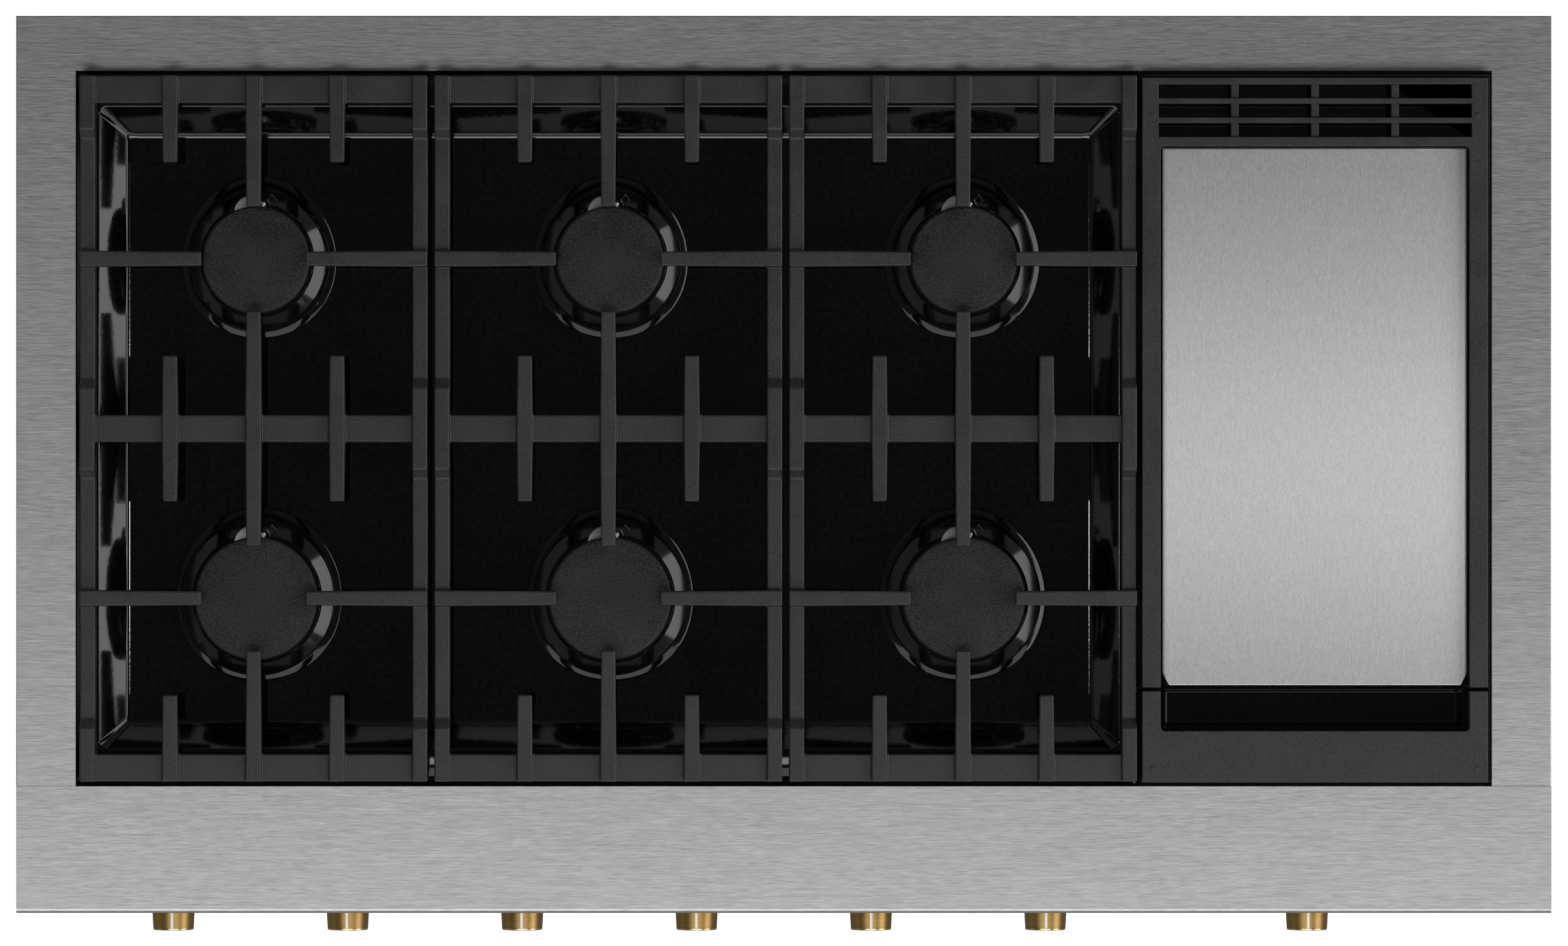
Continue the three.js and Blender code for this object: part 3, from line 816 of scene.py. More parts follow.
@dataclass
class Cabinet:
    """The folded panels under the top, with their screws and louvres."""

    frame: dict
    panel_edge: float = 0.5 * MM
    screw_radius: float = 4.2 * MM
    screw_height: float = 1.5 * MM
    side_screw_rise: float = 14 * MM
    rear_screw_rise: float = 12 * MM
    screw_drop: float = 36 * MM
    side_screws: tuple[float, ...] = (0.04, 0.35, 0.66, 0.97)
    rear_screws: int = 8
    rear_screw_ends: float = 0.02
    louvre_length: float = 46 * MM
    louvre_height: float = 7 * MM
    louvre_depth: float = 1.6 * MM
    louvre_banks: tuple[float, ...] = (-240 * MM, 20 * MM, 280 * MM)
    louvre_rows: int = 5
    louvre_columns: int = 2
    louvre_pitch: Point = (64.4 * MM, 13.3 * MM)
    louvre_rise: float = 62 * MM
    louvre_sink: float = 0.05 * MM

    def build(self) -> None:
        """Builds the panels and what is fastened to them."""
        for node, finish in (
            ("side_panel_left", STAINLESS),
            ("side_panel_right", STAINLESS),
            ("rear_panel", ZINC),
            ("base_pan", ZINC),
        ):
            mesh = soften(copy_of(self.frame, node), self.panel_edge, 2)
            show(f"{node}_sheet", mesh, finish, CHASSIS, [node], weighted=True)
        self._side_screws()
        self._rear_screws()
        self._louvres()

    def _screw(self, place: Place, turn: Matrix) -> Shape:
        """Sets one screw head on a panel, facing outwards."""
        return moved(screw_head(self.screw_radius, self.screw_height), place, turn)

    def _side_screws(self) -> None:
        """Fastens each side panel with a row of screws at its top and its bottom."""
        for side, turn in (("left", TO_LEFT), ("right", TO_RIGHT)):
            low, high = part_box(f"side_panel_{side}")
            x = low.x if side == "left" else high.x
            heads = []
            for z in (low.z + self.side_screw_rise, high.z - self.screw_drop):
                for share in self.side_screws:
                    heads.append(self._screw((x, low.y + share * (high.y - low.y), z), turn))
            show(f"side_screws_{side}", joined(heads), PLAIN_STEEL, CHASSIS)

    def _rear_screws(self) -> None:
        """Fastens the rear panel with a row of screws at its top and its bottom."""
        low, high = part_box("rear_panel")
        heads = []
        for z in (low.z + self.rear_screw_rise, high.z - self.screw_drop):
            for i in range(self.rear_screws):
                share = self.rear_screw_ends + (1 - 2 * self.rear_screw_ends) * i / (self.rear_screws - 1)
                heads.append(self._screw((low.x + share * (high.x - low.x), high.y, z), TO_REAR))
        show("rear_screws", joined(heads), PLAIN_STEEL, CHASSIS)

    def _louvres(self) -> None:
        """Presses the banks of louvres in the rear panel."""
        low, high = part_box("rear_panel")
        louvres = []
        for bank in self.louvre_banks:
            for row in range(self.louvre_rows):
                for column in range(self.louvre_columns):
                    x = bank + column * self.louvre_pitch[0]
                    z = low.z + self.louvre_rise + row * self.louvre_pitch[1]
                    louvres.append(self._louvre((x, high.y - self.louvre_sink, z)))
        show("rear_louvres", joined(louvres), ZINC, CHASSIS, crease=60)

    def _louvre(self, place: Place) -> Shape:
        """Presses one louvre: a hood that is open below.

        Args:
            place: The middle of its lower edge, on the panel.

        Returns:
            The hood, closed on the panel's side.
        """
        mesh = bmesh.new()
        bmesh.ops.create_uvsphere(mesh, u_segments=20, v_segments=12, radius=1.0)
        for normal in ((0, 0, -1), (0, -1, 0)):
            cut = bmesh.ops.bisect_plane(
                mesh,
                geom=list(mesh.verts) + list(mesh.edges) + list(mesh.faces),
                plane_co=(0, 0, 0),
                plane_no=normal,
                clear_outer=True,
            )
            rim = [e for e in cut["geom_cut"] if isinstance(e, Edge)]
            bmesh.ops.holes_fill(mesh, edges=rim, sides=0)
        size = (self.louvre_length / 2, self.louvre_depth, self.louvre_height)
        bmesh.ops.scale(mesh, vec=size, verts=mesh.verts)
        bmesh.ops.recalc_face_normals(mesh, faces=mesh.faces)
        return moved(mesh, place)


@dataclass
class Knob:
    """One brass knob with its pointer, its stem, its bezel and the marks on the panel."""

    frame: dict
    number: int
    thermostat: bool = False
    segments: int = 96
    narrowing: float = 1.6 * MM
    bore: float = 4.6 * MM
    bore_end: float = 28.5 * MM
    hollow: float = 3.0 * MM
    rim: float = 2.2 * MM
    band: float = 1.8 * MM
    band_seat: Point = (0.25 * MM, 0.15 * MM)
    band_gap: float = 0.2 * MM
    band_round: float = 0.7 * MM
    dish: Point = (0.5 * MM, 0.4 * MM)
    dish_round: float = 0.3 * MM
    pointer_width: float = 2.1 * MM
    pointer_depth: float = 1.6 * MM
    pointer_start: float = 0.6 * MM
    pointer_proud: float = 0.12 * MM
    line_start: float = 5 * MM
    line_inset: float = 0.6 * MM
    line_depth: float = 1.2 * MM
    line_sink: float = 0.02 * MM
    paint_edge: float = 0.15 * MM
    stem_edge: float = 0.3 * MM
    bezel_inner: float = 19.2 * MM
    bezel_outer: float = 24.5 * MM
    bezel_height: float = 2.3 * MM
    bezel_round: float = 1.4 * MM
    mark_gap: float = 3 * MM
    mark_length: float = 4 * MM
    mark_width: float = 1.2 * MM
    arc_start: float = 60.0
    arc_dashes: int = 40
    arc_widths: Point = (3.4 * MM, 0.8 * MM)
    dash_length: float = 2.2 * MM
    ink: float = 0.05 * MM
    axis: Vector = field(init=False)
    back: float = field(init=False)
    tip: float = field(init=False)
    radius: float = field(init=False)
    tip_radius: float = field(init=False)

    def __post_init__(self) -> None:
        """Takes the knob's axis and length from its CAD node and the panel's face."""
        low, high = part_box(f"knob_{self.number}")
        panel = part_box("control_panel")[0].y
        self.axis = Vector(((low.x + high.x) / 2, panel, (low.z + high.z) / 2))
        self.back = panel - high.y
        self.tip = panel - low.y
        self.radius = (high.x - low.x) / 2
        self.tip_radius = self.radius - self.narrowing

    def build(self) -> None:
        """Builds the knob and what is round it."""
        body = f"knob_{self.number}"
        show(f"{body}_brass", self._brass(), BRASS, body, [body], crease=30)
        # The rim band is brass painted paler than the body: a painted highlight ring.
        show(f"{body}_edge", self._edge_band(), BRASS_RIM_PAINTED_HIGHLIGHT, body, crease=30)
        show(f"{body}_pointer", self._pointer(), POINTER_PAINT, body)
        stem = f"valve_stem_{self.number}"
        show(f"{stem}_steel", soften(copy_of(self.frame, stem), self.stem_edge), PLAIN_STEEL, stem, [stem])
        show(f"bezel_{self.number}", self._bezel(), STAINLESS, CHASSIS, crease=30)
        show(f"flame_marks_{self.number}", self._marks(), MARK_PAINT, CHASSIS)

    def _placed(self, mesh: Shape) -> Shape:
        """Turns a shape made along +Z to point out of the panel on this knob's axis."""
        return moved(mesh, self.axis, TO_FRONT)

    def _side(self, height: float) -> float:
        """Gives the radius of the tapered side at a height over the panel."""
        return self.radius - self.narrowing * (height - self.back) / (self.tip - self.back)

    def _brass(self) -> Shape:
        """Turns the knob's body: a hollow back, a tapered side and a dished face.

        Returns:
            The body.
        """
        front = self.tip - self.band
        wide = self._side(front)
        step_in, step_up = self.band_seat
        inner = self.tip_radius - self.rim
        face, sag = self.tip - self.dish[0], self.dish[1]
        profile = [
            (0, self.bore_end),
            (self.bore, self.bore_end),
            (self.bore, self.back + self.hollow),
            (self.radius - self.hollow, self.back + self.hollow),
            (self.radius - self.rim, self.back),
            (self.radius, self.back),
            (wide, front),
            (wide - step_in, front + step_up),
            (inner, front + step_up),
            (inner, face),
            (0, face - sag),
        ]
        return self._placed(turned(profile, self.segments, {9: self.dish_round}, 3))

    def _edge_band(self) -> Shape:
        """Turns the polished ring at the rim of the face, whose paler colour is a painted highlight.

        Returns:
            The ring.
        """
        front = self.tip - self.band + self.band_gap
        inner = self.tip_radius - self.rim
        wide = self._side(front)
        tip = self.tip
        ring = [(inner, front), (wide, front), (self.tip_radius, tip), (inner, tip), (inner, front)]
        return self._placed(turned(ring, self.segments, {2: self.band_round}, 4))

    def _pointer(self) -> Shape:
        """Lays a strip along the top of the knob and a line on its face.

        Returns:
            The strip and the line.
        """
        half = self.pointer_width / 2
        bottom = self.tip_radius - self.pointer_depth
        strip = cuboid((-half, bottom, self.back + self.pointer_start), (half, self.radius, self.tip))
        for vert in strip.verts:
            if vert.co.y > self.tip_radius:
                vert.co.y = self._side(vert.co.z) + self.pointer_proud
        end = self.tip_radius - self.line_inset
        back, front = self.tip - self.line_depth, self.tip - self.line_sink
        line = cuboid((-half, self.line_start, back), (half, end, front))
        return self._placed(joined(soften(part, self.paint_edge, 1) for part in (strip, line)))

    def _bezel(self) -> Shape:
        """Turns the ring that stands on the panel round the knob.

        Returns:
            The ring.
        """
        ring = [
            (self.bezel_inner, 0),
            (self.bezel_outer, 0),
            (self.bezel_outer, self.bezel_height),
            (self.bezel_inner, self.bezel_height),
            (self.bezel_inner, 0),
        ]
        return self._placed(turned(ring, self.segments, {2: self.bezel_round}, 4))

    def _marks(self) -> Shape:
        """Prints an off line above the knob and an arc that narrows from high to low.

        Returns:
            The marks, as thick as the ink.
        """
        sweep = 270.0 if self.thermostat else 230.0
        inner = self.bezel_outer + self.mark_gap
        half = self.mark_width / 2
        marks = [cuboid((-half, inner, 0), (half, inner + self.mark_length, self.ink))]
        half = self.dash_length / 2
        high, low = self.arc_widths
        for i in range(self.arc_dashes):
            share = i / (self.arc_dashes - 1)
            angle = math.radians(90 + self.arc_start + (sweep - self.arc_start) * share)
            dash = cuboid((inner, -half, 0), (inner + high + (low - high) * share, half, self.ink))
            marks.append(moved(dash, (0, 0, 0), Matrix.Rotation(angle, 4, "Z")))
        return self._placed(joined(marks))


@dataclass
class ControlPanel:
    """The front panel that carries the knobs."""

    frame: dict
    knobs: int = 7
    edge: float = 0.6 * MM
    shortest_edge: float = 30 * MM

    def build(self) -> None:
        """Builds the panel and its knobs."""
        mesh = copy_of(self.frame, "control_panel")
        soften(mesh, self.edge, 3, lambda e: e.calc_length() > self.shortest_edge)
        show("control_panel_sheet", mesh, STAINLESS, CHASSIS, ["control_panel"], weighted=True)
        for number in range(1, self.knobs + 1):
            Knob(self.frame, number, thermostat=number == self.knobs).build()


class BurnerPlace(Enum):
    """The six burners, named as their CAD nodes are."""

    REAR_LEFT = "rear_left"
    FRONT_LEFT = "front_left"
    REAR_MIDDLE = "rear_middle"
    FRONT_MIDDLE = "front_middle"
    REAR_RIGHT = "rear_right"
    FRONT_RIGHT = "front_right"


@dataclass
class Burner:
    """One sealed burner: its cap, its head with flame ports, its igniter and its cup."""

    frame: dict
    place: BurnerPlace
    segments: int = 96
    seat_rise: float = 13.9 * MM
    cap_gap: float = 0.3 * MM
    cap_rim: float = 3 * MM
    cap_dome: float = 0.3 * MM
    cap_round: float = 2.6 * MM
    crown_wall: float = 7 * MM
    crown_inset: float = 1.5 * MM
    shelf: float = 10 * MM
    neck_bore: float = 12 * MM
    neck: float = 26 * MM
    port_depth: float = 3 * MM
    port_spacing: int = 3
    port_bottom: float = 1.2 * MM
    port_top: float = 0.6 * MM
    igniter: Point = (5.4 * MM, 1.9 * MM)
    lobe_radius: float = 12.5 * MM
    lobe_height: float = 5.6 * MM
    lobe_round: float = 1.0 * MM
    lobe_place: Place = (-5.5 * MM, -4.6 * MM, 10.1 * MM)
    ceramic_radius: float = 1.5 * MM
    ceramic_round: float = 0.8 * MM
    wire_radius: float = 0.55 * MM
    wire_length: float = 13 * MM
    wire_place: Place = (6.6 * MM, 2.6 * MM, 2 * MM)
    cup_edge: float = 0.4 * MM
    centre: Vector = field(init=False)
    skirt: float = field(init=False)
    cap: float = field(init=False)
    seat: float = field(init=False)
    crown_top: float = field(init=False)
    cap_top: float = field(init=False)
    neck_bottom: float = field(init=False)

    def __post_init__(self) -> None:
        """Takes the burner's axis and radii from its CAD nodes."""
        name = self.place.value
        head_low, head_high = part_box(f"burner_head_{name}")
        cap_low, cap_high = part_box(f"burner_cap_{name}")
        self.centre = (head_low + head_high) / 2
        self.skirt = (head_high.x - head_low.x) / 2
        self.cap = (cap_high.x - cap_low.x) / 2
        self.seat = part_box(f"burner_cup_{name}")[1].z + self.seat_rise
        self.crown_top = head_high.z
        self.cap_top = cap_high.z
        self.neck_bottom = head_low.z

    def build(self) -> None:
        """Builds the burner's pieces."""
        name = self.place.value
        cap, head, cup = (f"burner_{part}_{name}" for part in ("cap", "head", "cup"))
        show(f"{cap}_disc", self._cap(), CAP_ENAMEL, cap, [cap])
        show(f"{head}_casting", self._head(), BURNER_ENAMEL, CHASSIS, [head], crease=30)
        show(f"igniter_{name}_lobe", self._lobe(), ALUMINIUM, CHASSIS)
        show(f"igniter_{name}_ceramic", self._ceramic(), CERAMIC, CHASSIS)
        show(f"igniter_{name}_wire", self._wire(), PLAIN_STEEL, CHASSIS)
        casting = soften(copy_of(self.frame, cup), self.cup_edge, 1)
        show(f"{cup}_casting", casting, ALUMINIUM, CHASSIS, [cup], crease=50)

    def _cap(self) -> Shape:
        """Turns the cap: a flat disc with a soft edge and a locating rim below.

        Returns:
            The cap.
        """
        bottom = self.crown_top + self.cap_gap
        lip = self.cap - self.crown_wall - 3 * MM
        profile = [
            (0, bottom),
            (lip - 2 * MM, bottom),
            (lip - 2 * MM, bottom - self.cap_rim),
            (lip, bottom - self.cap_rim),
            (lip, bottom),
            (self.cap - 0.8 * MM, bottom),
            (self.cap, bottom + 1 * MM),
            (self.cap, self.cap_top - self.cap_dome),
            (0, self.cap_top),
        ]
        cap = turned(profile, self.segments, {7: self.cap_round}, 6)
        return moved(cap, (self.centre.x, self.centre.y, 0))

    def _head(self) -> Shape:
        """Turns the head and sinks the flame ports in its crown.

        Returns:
            The head.
        """
        crown = self.cap - self.crown_inset
        rim = self.cap + self.crown_inset
        inner = crown - self.crown_wall
        seat, shelf = self.seat, self.seat + self.shelf
        profile = [
            (self.neck_bore, self.neck_bottom),
            (self.neck, self.neck_bottom),
            (self.neck, seat + 0.3 * MM),
            (self.skirt - 1 * MM, seat + 0.3 * MM),
            (self.skirt, seat + 0.8 * MM),
            (self.skirt - 0.9 * MM, seat + 2.6 * MM),
            (rim + 1 * MM, shelf - 1.4 * MM),
            (rim, shelf),
            (crown, shelf),
            (crown, shelf + self.port_bottom),
            (crown, self.crown_top - self.port_top),
            (crown, self.crown_top),
            (inner, self.crown_top),
            (inner, shelf - 3 * MM),
            (self.neck_bore, shelf - 3 * MM),
            (self.neck_bore, self.neck_bottom),
        ]
        mesh = turned(profile, self.segments, {4: 0.6 * MM, 5: 0.7 * MM, 6: 0.9 * MM}, 3)
        self._sink_ports(mesh, crown)
        return moved(mesh, (self.centre.x, self.centre.y, 0))

    def _sink_ports(self, mesh: Shape, crown: float) -> None:
        """Pushes every third face of the crown's outer wall inwards, as flame ports.

        Args:
            mesh: The head, on the Z axis.
            crown: The crown's radius.
        """
        bottom = self.seat + self.shelf + self.port_bottom
        top = self.crown_top - self.port_top
        wall = []
        for face in mesh.faces:
            middle = face.calc_center_median()
            outer = abs(math.hypot(middle.x, middle.y) - crown) < 0.3 * MM
            number = round(math.atan2(middle.y, middle.x) / (2 * math.pi) * self.segments - 0.5)
            if outer and bottom < middle.z < top and number % self.port_spacing == 0:
                wall.append(face)
        sunk = bmesh.ops.extrude_discrete_faces(mesh, faces=wall)["faces"]
        for face in sunk:
            inwards = face.calc_center_median().copy()
            inwards.z = 0
            bmesh.ops.translate(mesh, vec=-inwards.normalized() * self.port_depth, verts=face.verts)

    def _igniter_place(self) -> Vector:
        """Gives the electrode's axis, just behind the cap."""
        across, behind = self.igniter
        return Vector((self.centre.x + across, self.centre.y + self.cap + behind, 0))

    def _lobe(self) -> Shape:
        """Builds the cast lobe that guards the electrode on its left.

        Returns:
            The lobe.
        """
        radius, height = self.lobe_radius, self.lobe_height
        lobe = turned([(0, 0), (radius, 0), (radius, height), (0, height)], 40, {2: self.lobe_round}, 3)
        bmesh.ops.scale(lobe, vec=(1.0, 1.05, 1.0), verts=lobe.verts)
        rear = Vector((self.centre.x, self.centre.y + self.cap, self.seat))
        return moved(lobe, rear + Vector(self.lobe_place))

    def _ceramic(self) -> Shape:
        """Turns the electrode's insulator, which is thicker at its foot.

        Returns:
            The insulator.
        """
        thin, thick = self.ceramic_radius, 1.35 * self.ceramic_radius
        seat = self.seat
        profile = [
            (0, seat - 6 * MM),
            (thick, seat - 6 * MM),
            (thick, seat + 3 * MM),
            (thin, seat + 5 * MM),
            (thin, seat + 14.5 * MM),
            (0, seat + 15 * MM),
        ]
        return moved(turned(profile, 24, {4: self.ceramic_round}, 3), self._igniter_place())

    def _wire(self) -> Shape:
        """Bends the spark wire: a V of thin rod behind a narrow guard, beside the insulator.

        Returns:
            The wire.
        """
        start = self._igniter_place() + Vector(self.wire_place) + Vector((0, 0, self.seat))
        guard = cuboid((-0.45 * MM, -2.8 * MM, 0), (0.45 * MM, 2.8 * MM, 9 * MM))
        askew = Matrix.Rotation(math.radians(24), 4, "Z")
        legs = [moved(guard, start + Vector((-2.6 * MM, -1.2 * MM, 0)), askew)]
        for lean in (-1, 1):
            mesh = bmesh.new()
            bmesh.ops.create_cone(
                mesh,
                cap_ends=True,
                segments=10,
                radius1=self.wire_radius,
                radius2=self.wire_radius,
                depth=self.wire_length,
            )
            sideways = Matrix.Rotation(math.radians(-20 * lean), 4, "Y")
            backwards = Matrix.Rotation(math.radians(-26), 4, "X")
            middle = start + Vector((2.1 * MM * lean, 2 * MM, 6 * MM))
            legs.append(moved(mesh, middle, sideways @ backwards))
        return joined(legs)


@dataclass
class SpillTray:
    """The drawn and enamelled pan under the six burners."""

    frame: dict
    rim_left: float = 22.5 * MM
    rim_right: float = 13.9 * MM
    rim_front: float = 36.1 * MM
    rim_rear: float = 30.8 * MM
    outer_radius: float = 2.0 * MM
    floor_inset: float = 27.1 * MM
    floor_rise: float = 1.6 * MM
    fillet: float = 11.0 * MM
    wall_slope: float = 42.0
    fillet_steps: int = 6
    roll: float = 2.0 * MM
    corner_radius: float = 6.0 * MM
    corner_steps: int = 10
    sheet: float = 1.5 * MM
    rear_foot: float = 62.0 * MM
    front_foot: float = 66.6 * MM
    shoulder: tuple[Point, ...] = (
        (0.3 * MM, 0.21 * MM),
        (1.8 * MM, 0.94 * MM),
        (3.3 * MM, 1.63 * MM),
        (4.9 * MM, 2.33 * MM),
        (5.5 * MM, 2.42 * MM),
    )
    neck_length: float = 17.1 * MM
    seat_edge: tuple[Point, ...] = ((2.5 * MM, 1.5 * MM), (4 * MM, 0.0))
    lobe: float = 6.5 * MM
    hole: float = 27.2 * MM
    circle_steps: int = 128
    top: float = field(init=False)
    floor: float = field(init=False)

    def __post_init__(self) -> None:
        """Takes the pan's height from its CAD node."""
        low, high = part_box("spill_tray")
        self.top = high.z
        self.floor = low.z + self.floor_rise

    def build(self) -> None:
        """Builds the pan."""
        low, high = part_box("spill_tray")
        opening_low = (low.x + self.rim_left, low.y + self.rim_front)
        opening_high = (high.x - self.rim_right, high.y - self.rim_rear)
        mesh = bmesh.new()
        rings = [self._rectangle(mesh, low, high, 0.0, self.top, self.outer_radius)]
        for inset, z in self._section():
            rings.append(self._rectangle(mesh, opening_low, opening_high, inset, z, self.corner_radius))
        bridge(mesh, rings)
        open_edges = [e for e in mesh.edges if len(e.link_faces) == 1]
        edges = [e for e in open_edges if abs(e.verts[0].co.z - self.floor) < TOUCH]
        for place in BurnerPlace:
            edges += self._boss(mesh, place)
        bmesh.ops.triangle_fill(mesh, use_beauty=True, edges=edges)
        bmesh.ops.recalc_face_normals(mesh, faces=mesh.faces)
        if max(mesh.faces, key=lambda f: f.calc_area()).normal.z < 0:
            bmesh.ops.reverse_faces(mesh, faces=mesh.faces)
        tray = show("spill_tray_pressing", mesh, TRAY_ENAMEL, CHASSIS, ["spill_tray"], crease=14)
        wall = tray.modifiers.new("sheet", "SOLIDIFY")
        wall.thickness = self.sheet
        wall.offset = -1.0

    def _section(self) -> list[Point]:
        """Draws the wall's section: a rolled edge, a straight slope and a fillet into the floor.

        Returns:
            How far in and how high each point is.
        """
        slope = math.radians(self.wall_slope)
        points = []
        for step in range(self.fillet_steps):
            angle = slope * step / (self.fillet_steps - 1)
            points.append((self.roll * math.sin(angle), self.top - self.roll * (1 - math.cos(angle))))
        for step in range(self.fillet_steps, -1, -1):
            angle = slope * step / self.fillet_steps
            inset = self.floor_inset - self.fillet * math.sin(angle)
            points.append((inset, self.floor + self.fillet * (1 - math.cos(angle))))
        return points

    def _rectangle(
        self,
        mesh: Shape,
        low: Sequence[float],
        high: Sequence[float],
        inset: float,
        z: float,
        radius: float,
    ) -> list[Edge]:
        """Draws a rectangle with round corners.

        Args:
            mesh: The pan so far.
            low: Its left front corner.
            high: Its right rear corner.
            inset: How far it is drawn in on each side.
            z: Its height.
            radius: Its corners' radius.

        Returns:
            The new edges.
        """
        before = set(mesh.edges)
        x0, y0, x1, y1 = low[0] + inset, low[1] + inset, high[0] - inset, high[1] - inset
        corners = [mesh.verts.new((x, y, z)) for x, y in ((x0, y0), (x1, y0), (x1, y1), (x0, y1))]
        for i, corner in enumerate(corners):
            mesh.edges.new((corner, corners[(i + 1) % 4]))
        round_corners(mesh, corners, radius, self.corner_steps)
        return [e for e in mesh.edges if e not in before]

    def _teardrop(self, mesh: Shape, centre: Vector, radius: float, z: float, lobe: float) -> list[Edge]:
        """Draws a circle that is drawn out a little to the rear, for the igniter.

        Args:
            mesh: The pan so far.
            centre: The burner's axis.
            radius: The circle's radius.
            z: Its height.
            lobe: How far it is drawn out.

        Returns:
            The new edges.
        """
        circle = bmesh.ops.create_circle(mesh, segments=self.circle_steps, radius=radius)["verts"]
        for vert in circle:
            rearward = max(0.0, vert.co.y / radius)
            vert.co *= 1 + lobe / radius * rearward**5
        bmesh.ops.translate(mesh, vec=(centre.x, centre.y, z), verts=circle)
        return list({e for vert in circle for e in vert.link_edges})

    def _boss(self, mesh: Shape, place: BurnerPlace) -> list[Edge]:
        """Raises the boss that a burner stands on.

        Args:
            mesh: The pan so far.
            place: Which burner it is for.

        Returns:
            The edges of the boss's foot, in the floor.
        """
        low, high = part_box(f"burner_head_{place.value}")
        centre = (low + high) / 2
        foot = self.rear_foot if place.value.startswith("rear") else self.front_foot
        seat = low.z + self.neck_length
        edge = foot - self.shoulder[-1][0]
        profile = [(foot, self.floor)]
        profile += [(foot - inwards, self.floor + up) for inwards, up in self.shoulder]
        profile += [(edge - inwards, seat - down) for inwards, down in self.seat_edge]
        rings = [self._teardrop(mesh, centre, radius, z, self.lobe) for radius, z in profile]
        rings.append(self._teardrop(mesh, centre, self.hole, seat, 0.0))
        bridge(mesh, rings)
        return rings[0]


@dataclass
class Grate:
    """One cast iron grate over two burners."""

    frame: dict
    side: str
    rounding: float = 1.4 * MM
    steps: int = 4

    def build(self) -> None:
        """Rounds every edge of the casting and the roots of its fingers."""
        node = f"grate_{self.side}"
        mesh = soften(copy_of(self.frame, node), self.rounding, self.steps, clamp=False)
        show(f"{node}_casting", mesh, CAST_IRON, node, [node], crease=40, weighted=True)


@dataclass
class Griddle:
    """The griddle plate in its cast frame, with the vents, the trough and what is below."""

    frame: dict
    opening_radius: float = 3.4 * MM
    frame_edge: float = 0.7 * MM
    plate_reach: float = 1.5 * MM
    plate_roll: float = 2.6 * MM
    plate_edge: float = 1.2 * MM
    shortest_edge: float = 8 * MM
    tray_edge: float = 1.2 * MM
    box_edge: float = 0.4 * MM
    tube_edge: float = 0.3 * MM
    pin_radius: float = 2.6 * MM
    pin_height: float = 0.5 * MM
    pin_depth: float = 1 * MM
    pin_proud: float = 0.3 * MM
    pin_inset: Point = (8.4 * MM, 11 * MM)
    rear_pin_drop: float = 29.7 * MM

    def build(self) -> None:
        """Builds the griddle's pieces."""
        for node in ("griddle_frame", "griddle_front_trim"):
            show(f"{node}_casting", self._casting(node), CAST_IRON, CHASSIS, [node], weighted=True)
        show(
            "griddle_plate_ground",
            self._plate(),
            GRIDDLE_STEEL,
            "griddle_plate",
            ["griddle_plate"],
            weighted=True,
        )
        tray = soften(copy_of(self.frame, "grease_tray"), self.tray_edge, 3)
        show("grease_tray_pressing", tray, TRAY_ENAMEL, "grease_tray", ["grease_tray"], weighted=True)
        box = soften(copy_of(self.frame, "griddle_box"), self.box_edge, 1)
        show("griddle_box_pressing", box, TRAY_ENAMEL, CHASSIS, ["griddle_box"], weighted=True)
        burner = soften(copy_of(self.frame, "griddle_burner"), self.tube_edge, 1)
        show("griddle_burner_tube", burner, PLAIN_STEEL, CHASSIS, ["griddle_burner"], crease=50)
        show("griddle_pins", self._pins(), CAST_IRON, CHASSIS)

    def _casting(self, node: str) -> Shape:
        """Rounds the openings and the edges of one half of the frame.

        Args:
            node: The CAD node of that half.

        Returns:
            The casting, lowered a little so that its pins stand proud.
        """
        mesh = copy_of(self.frame, node)
        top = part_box(node)[1].z
        for vert in mesh.verts:
            if vert.co.z > top - TOUCH:
                vert.co.z -= self.pin_proud
        soften(mesh, self.opening_radius, 5, self._is_opening_corner, clamp=False)
        return soften(mesh, self.frame_edge, 3, clamp=False)

    def _is_opening_corner(self, edge: Edge) -> bool:
        """Tells whether an edge is an upright inner corner in front of the vents.

        Args:
            edge: The edge to look at.

        Returns:
            True for a corner of the opening for the plate or of the trough.
        """
        first, last = (v.co for v in edge.verts)
        upright = math.hypot(first.x - last.x, first.y - last.y) < TOUCH
        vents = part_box("griddle_plate")[1].y + 2 * MM
        return upright and not edge.is_convex and first.y <= vents

    def _plate(self) -> Shape:
        """Rolls the plate's rear edge down towards the frame and rounds its other edges.

        Returns:
            The plate.
        """
        plate = copy_of(self.frame, "griddle_plate")
        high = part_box("griddle_plate")[1]
        for vert in plate.verts:
            if vert.co.y > high.y - 0.1 * MM:
                vert.co.y += self.plate_reach
        rear, top = high.y + self.plate_reach - 0.1 * MM, high.z - 0.1 * MM
        soften(plate, self.plate_roll, 8, lambda e: all(v.co.y > rear and v.co.z > top for v in e.verts))
        return soften(plate, self.plate_edge, 3, self._is_plate_edge, clamp=False)

    def _is_plate_edge(self, edge: Edge) -> bool:
        """Tells whether an edge of the plate is long and not yet rounded."""
        return edge.calc_length() > self.shortest_edge and edge.calc_face_angle(0.0) > 0.6

    def _pins(self) -> Shape:
        """Turns the four locating pins in the corners of the frame.

        Returns:
            The pins.
        """
        low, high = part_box("griddle_frame")
        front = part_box("griddle_front_trim")[0].y + self.pin_inset[1]
        rear = high.y - self.rear_pin_drop
        radius, bottom = self.pin_radius, -self.pin_depth
        profile = [(0, bottom), (radius, bottom), (radius, 0), (0, 0)]
        pins = []
        for y in (rear, front):
            for x in (low.x + self.pin_inset[0], high.x - self.pin_inset[0]):
                pins.append(moved(turned(profile, 24, {2: self.pin_height}, 3), (x, y, high.z)))
        return joined(pins)


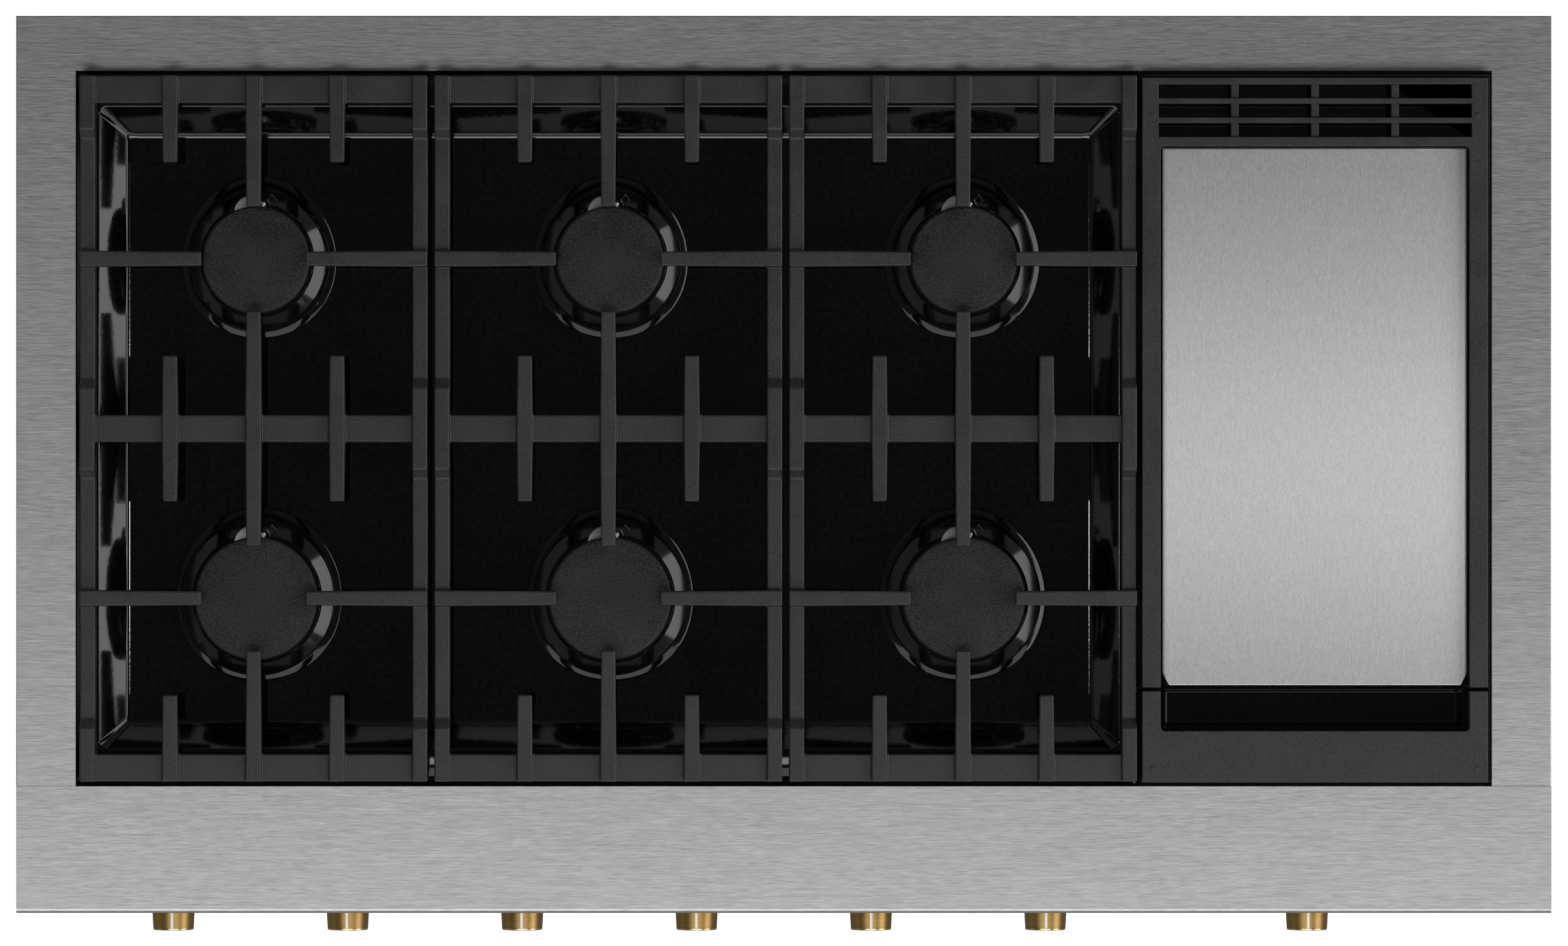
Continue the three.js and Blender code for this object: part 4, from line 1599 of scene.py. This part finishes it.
@dataclass
class GasTrain:
    """The manifold, the valves, the regulator and the electric parts in the cabinet."""

    frame: dict
    valves: int = 7
    edge: float = 0.5 * MM

    def build(self) -> None:
        """Dresses the gas and electric parts."""
        for number in range(1, self.valves + 1):
            self._dress(f"gas_valve_{number}", ALUMINIUM)
        self._dress("gas_manifold", PLAIN_STEEL)
        self._dress("pressure_regulator", ALUMINIUM)
        self._dress("ignition_module", PLASTIC)
        self._dress("power_inlet", PLASTIC)

    def _dress(self, node: str, finish: Finish) -> None:
        """Gives a CAD node softened edges and a finish.

        Args:
            node: The CAD node.
            finish: Its surface.
        """
        mesh = soften(copy_of(self.frame, node), self.edge, 1)
        show(f"{node}_body", mesh, finish, CHASSIS, [node], crease=50)


# ---------------------------------------------------------------------------------------------
# Studio


@dataclass
class SoftBox:
    """A rectangular studio light that faces the middle of the rangetop."""

    name: str
    place: Place
    width: float
    height: float
    radiance: float

    def build(self, target: Vector) -> None:
        """Hangs the light.

        Args:
            target: The point that it faces.
        """
        data = bpy.data.lights.new(self.name, "AREA")
        data.shape = "RECTANGLE"
        data.size, data.size_y = self.width, self.height
        data.energy = self.radiance * math.pi * self.width * self.height
        lamp = bpy.data.objects.new(self.name, data)
        bpy.context.scene.collection.objects.link(lamp)
        lamp.location = self.place
        lamp.visible_camera = False
        lamp.rotation_mode = "QUATERNION"
        lamp.rotation_quaternion = (target - Vector(self.place)).to_track_quat("-Z", "Y")


@dataclass
class Studio:
    """A pale floor, soft lights and a camera that looks straight down."""

    distance: float = 6.0
    view_width: float = 1241.66 * MM
    camera_shift: Point = (0.18 * MM, -0.25 * MM)
    floor_size: float = 30.0
    floor_glow: float = 0.9
    target: Place = (0.0, 0.0, 0.2)
    room: tuple[Point, ...] = (
        (0.0, 0.2),
        (0.44, 0.26),
        (0.52, 0.42),
        (0.62, 0.3),
        (0.78, 0.12),
        (0.88, 0.06),
        (1.0, 0.06),
    )

    def camera(self, top: float) -> None:
        """Sets the camera over the middle of the top.

        Args:
            top: The height of the surround.
        """
        data = bpy.data.cameras.new("camera")
        data.lens = data.sensor_width * self.distance / self.view_width
        data.clip_end = 100
        camera = bpy.data.objects.new("camera", data)
        bpy.context.scene.collection.objects.link(camera)
        camera.location = (*self.camera_shift, top + self.distance)
        bpy.context.scene.camera = camera

    def floor(self) -> None:
        """Lays the pale floor."""
        data = bpy.data.meshes.new("floor")
        mesh = bmesh.new()
        bmesh.ops.create_grid(mesh, x_segments=1, y_segments=1, size=self.floor_size)
        mesh.to_mesh(data)
        mesh.free()
        floor = bpy.data.objects.new("floor", data)
        bpy.context.scene.collection.objects.link(floor)
        paper = bpy.data.materials.new("seamless_white_paper")
        paper.use_nodes = True
        shader = paper.node_tree.nodes["Principled BSDF"]
        shader.inputs["Base Color"].default_value = linear("#f4f4f4")
        shader.inputs["Roughness"].default_value = 0.9
        shader.inputs["Emission Color"].default_value = linear("#ffffff")
        shader.inputs["Emission Strength"].default_value = self.floor_glow
        data.materials.append(paper)
        # The paper is lit flat white, and the metal doesn't mirror it, as if it lay far below.
        floor.visible_glossy = False

    def lights(self) -> None:
        """Hangs the soft boxes and sets the dim room light."""
        boxes = [
            SoftBox("front_near", (0, -1.3, 3.4), 4.0, 0.8, 1.6),
            SoftBox("front_high", (0, -2.1, 5.0), 4.5, 1.2, 2.9),
            SoftBox("front_wall", (0, -3.1, 3.0), 7.0, 1.5, 1.3),
            SoftBox("right_wall", (3.8, 0, 1.95), 5.6, 2.4, 2.6),
            SoftBox("right_strip", (2.9, 0.0, 5.0), 0.3, 0.45, 34.0),
            SoftBox("left_strip", (-2.9, 0.0, 5.0), 0.3, 0.45, 31.0),
        ]
        for box in boxes:
            box.build(Vector(self.target))
        self._room()

    def _room(self) -> None:
        """Makes the room: pale walls and floor all round, and a dim ceiling."""
        world = bpy.data.worlds.new("room")
        world.use_nodes = True
        tree = world.node_tree
        direction = add_node(tree, "ShaderNodeTexCoord").outputs["Generated"]
        height = add_node(tree, "ShaderNodeSeparateXYZ", links={"Vector": direction}).outputs["Z"]
        share = add_node(
            tree,
            "ShaderNodeMapRange",
            values={"From Min": -1.0, "From Max": 1.0, "To Min": 0.0, "To Max": 1.0},
            links={"Value": height},
        )
        ramp = add_node(tree, "ShaderNodeValToRGB", links={"Fac": share.outputs["Result"]})
        stops = ramp.color_ramp.elements
        stops[0].position, stops[0].color = 0.0, (self.room[0][1],) * 3 + (1.0,)
        stops[1].position, stops[1].color = 1.0, (self.room[-1][1],) * 3 + (1.0,)
        for place, glow in self.room[1:-1]:
            stops.new(place).color = (glow, glow, glow, 1.0)
        background = tree.nodes["Background"]
        background.inputs["Strength"].default_value = 1.0
        tree.links.new(ramp.outputs["Color"], background.inputs["Color"])
        bpy.context.scene.world = world


def main() -> None:
    """Builds the rangetop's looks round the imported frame."""
    logging.basicConfig(level=logging.INFO, format="%(name)s %(message)s")
    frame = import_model()
    bpy.context.scene.view_settings.view_transform = "Standard"
    studio = Studio()
    studio.camera(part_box("top_trim")[1].z)
    studio.floor()
    studio.lights()
    Surround(frame).build()
    Cabinet(frame).build()
    ControlPanel(frame).build()
    SpillTray(frame).build()
    for place in BurnerPlace:
        Burner(frame, place).build()
    for side in ("left", "middle", "right"):
        Grate(frame, side).build()
    Griddle(frame).build()
    GasTrain(frame).build()


if __name__ == "__main__":
    main()
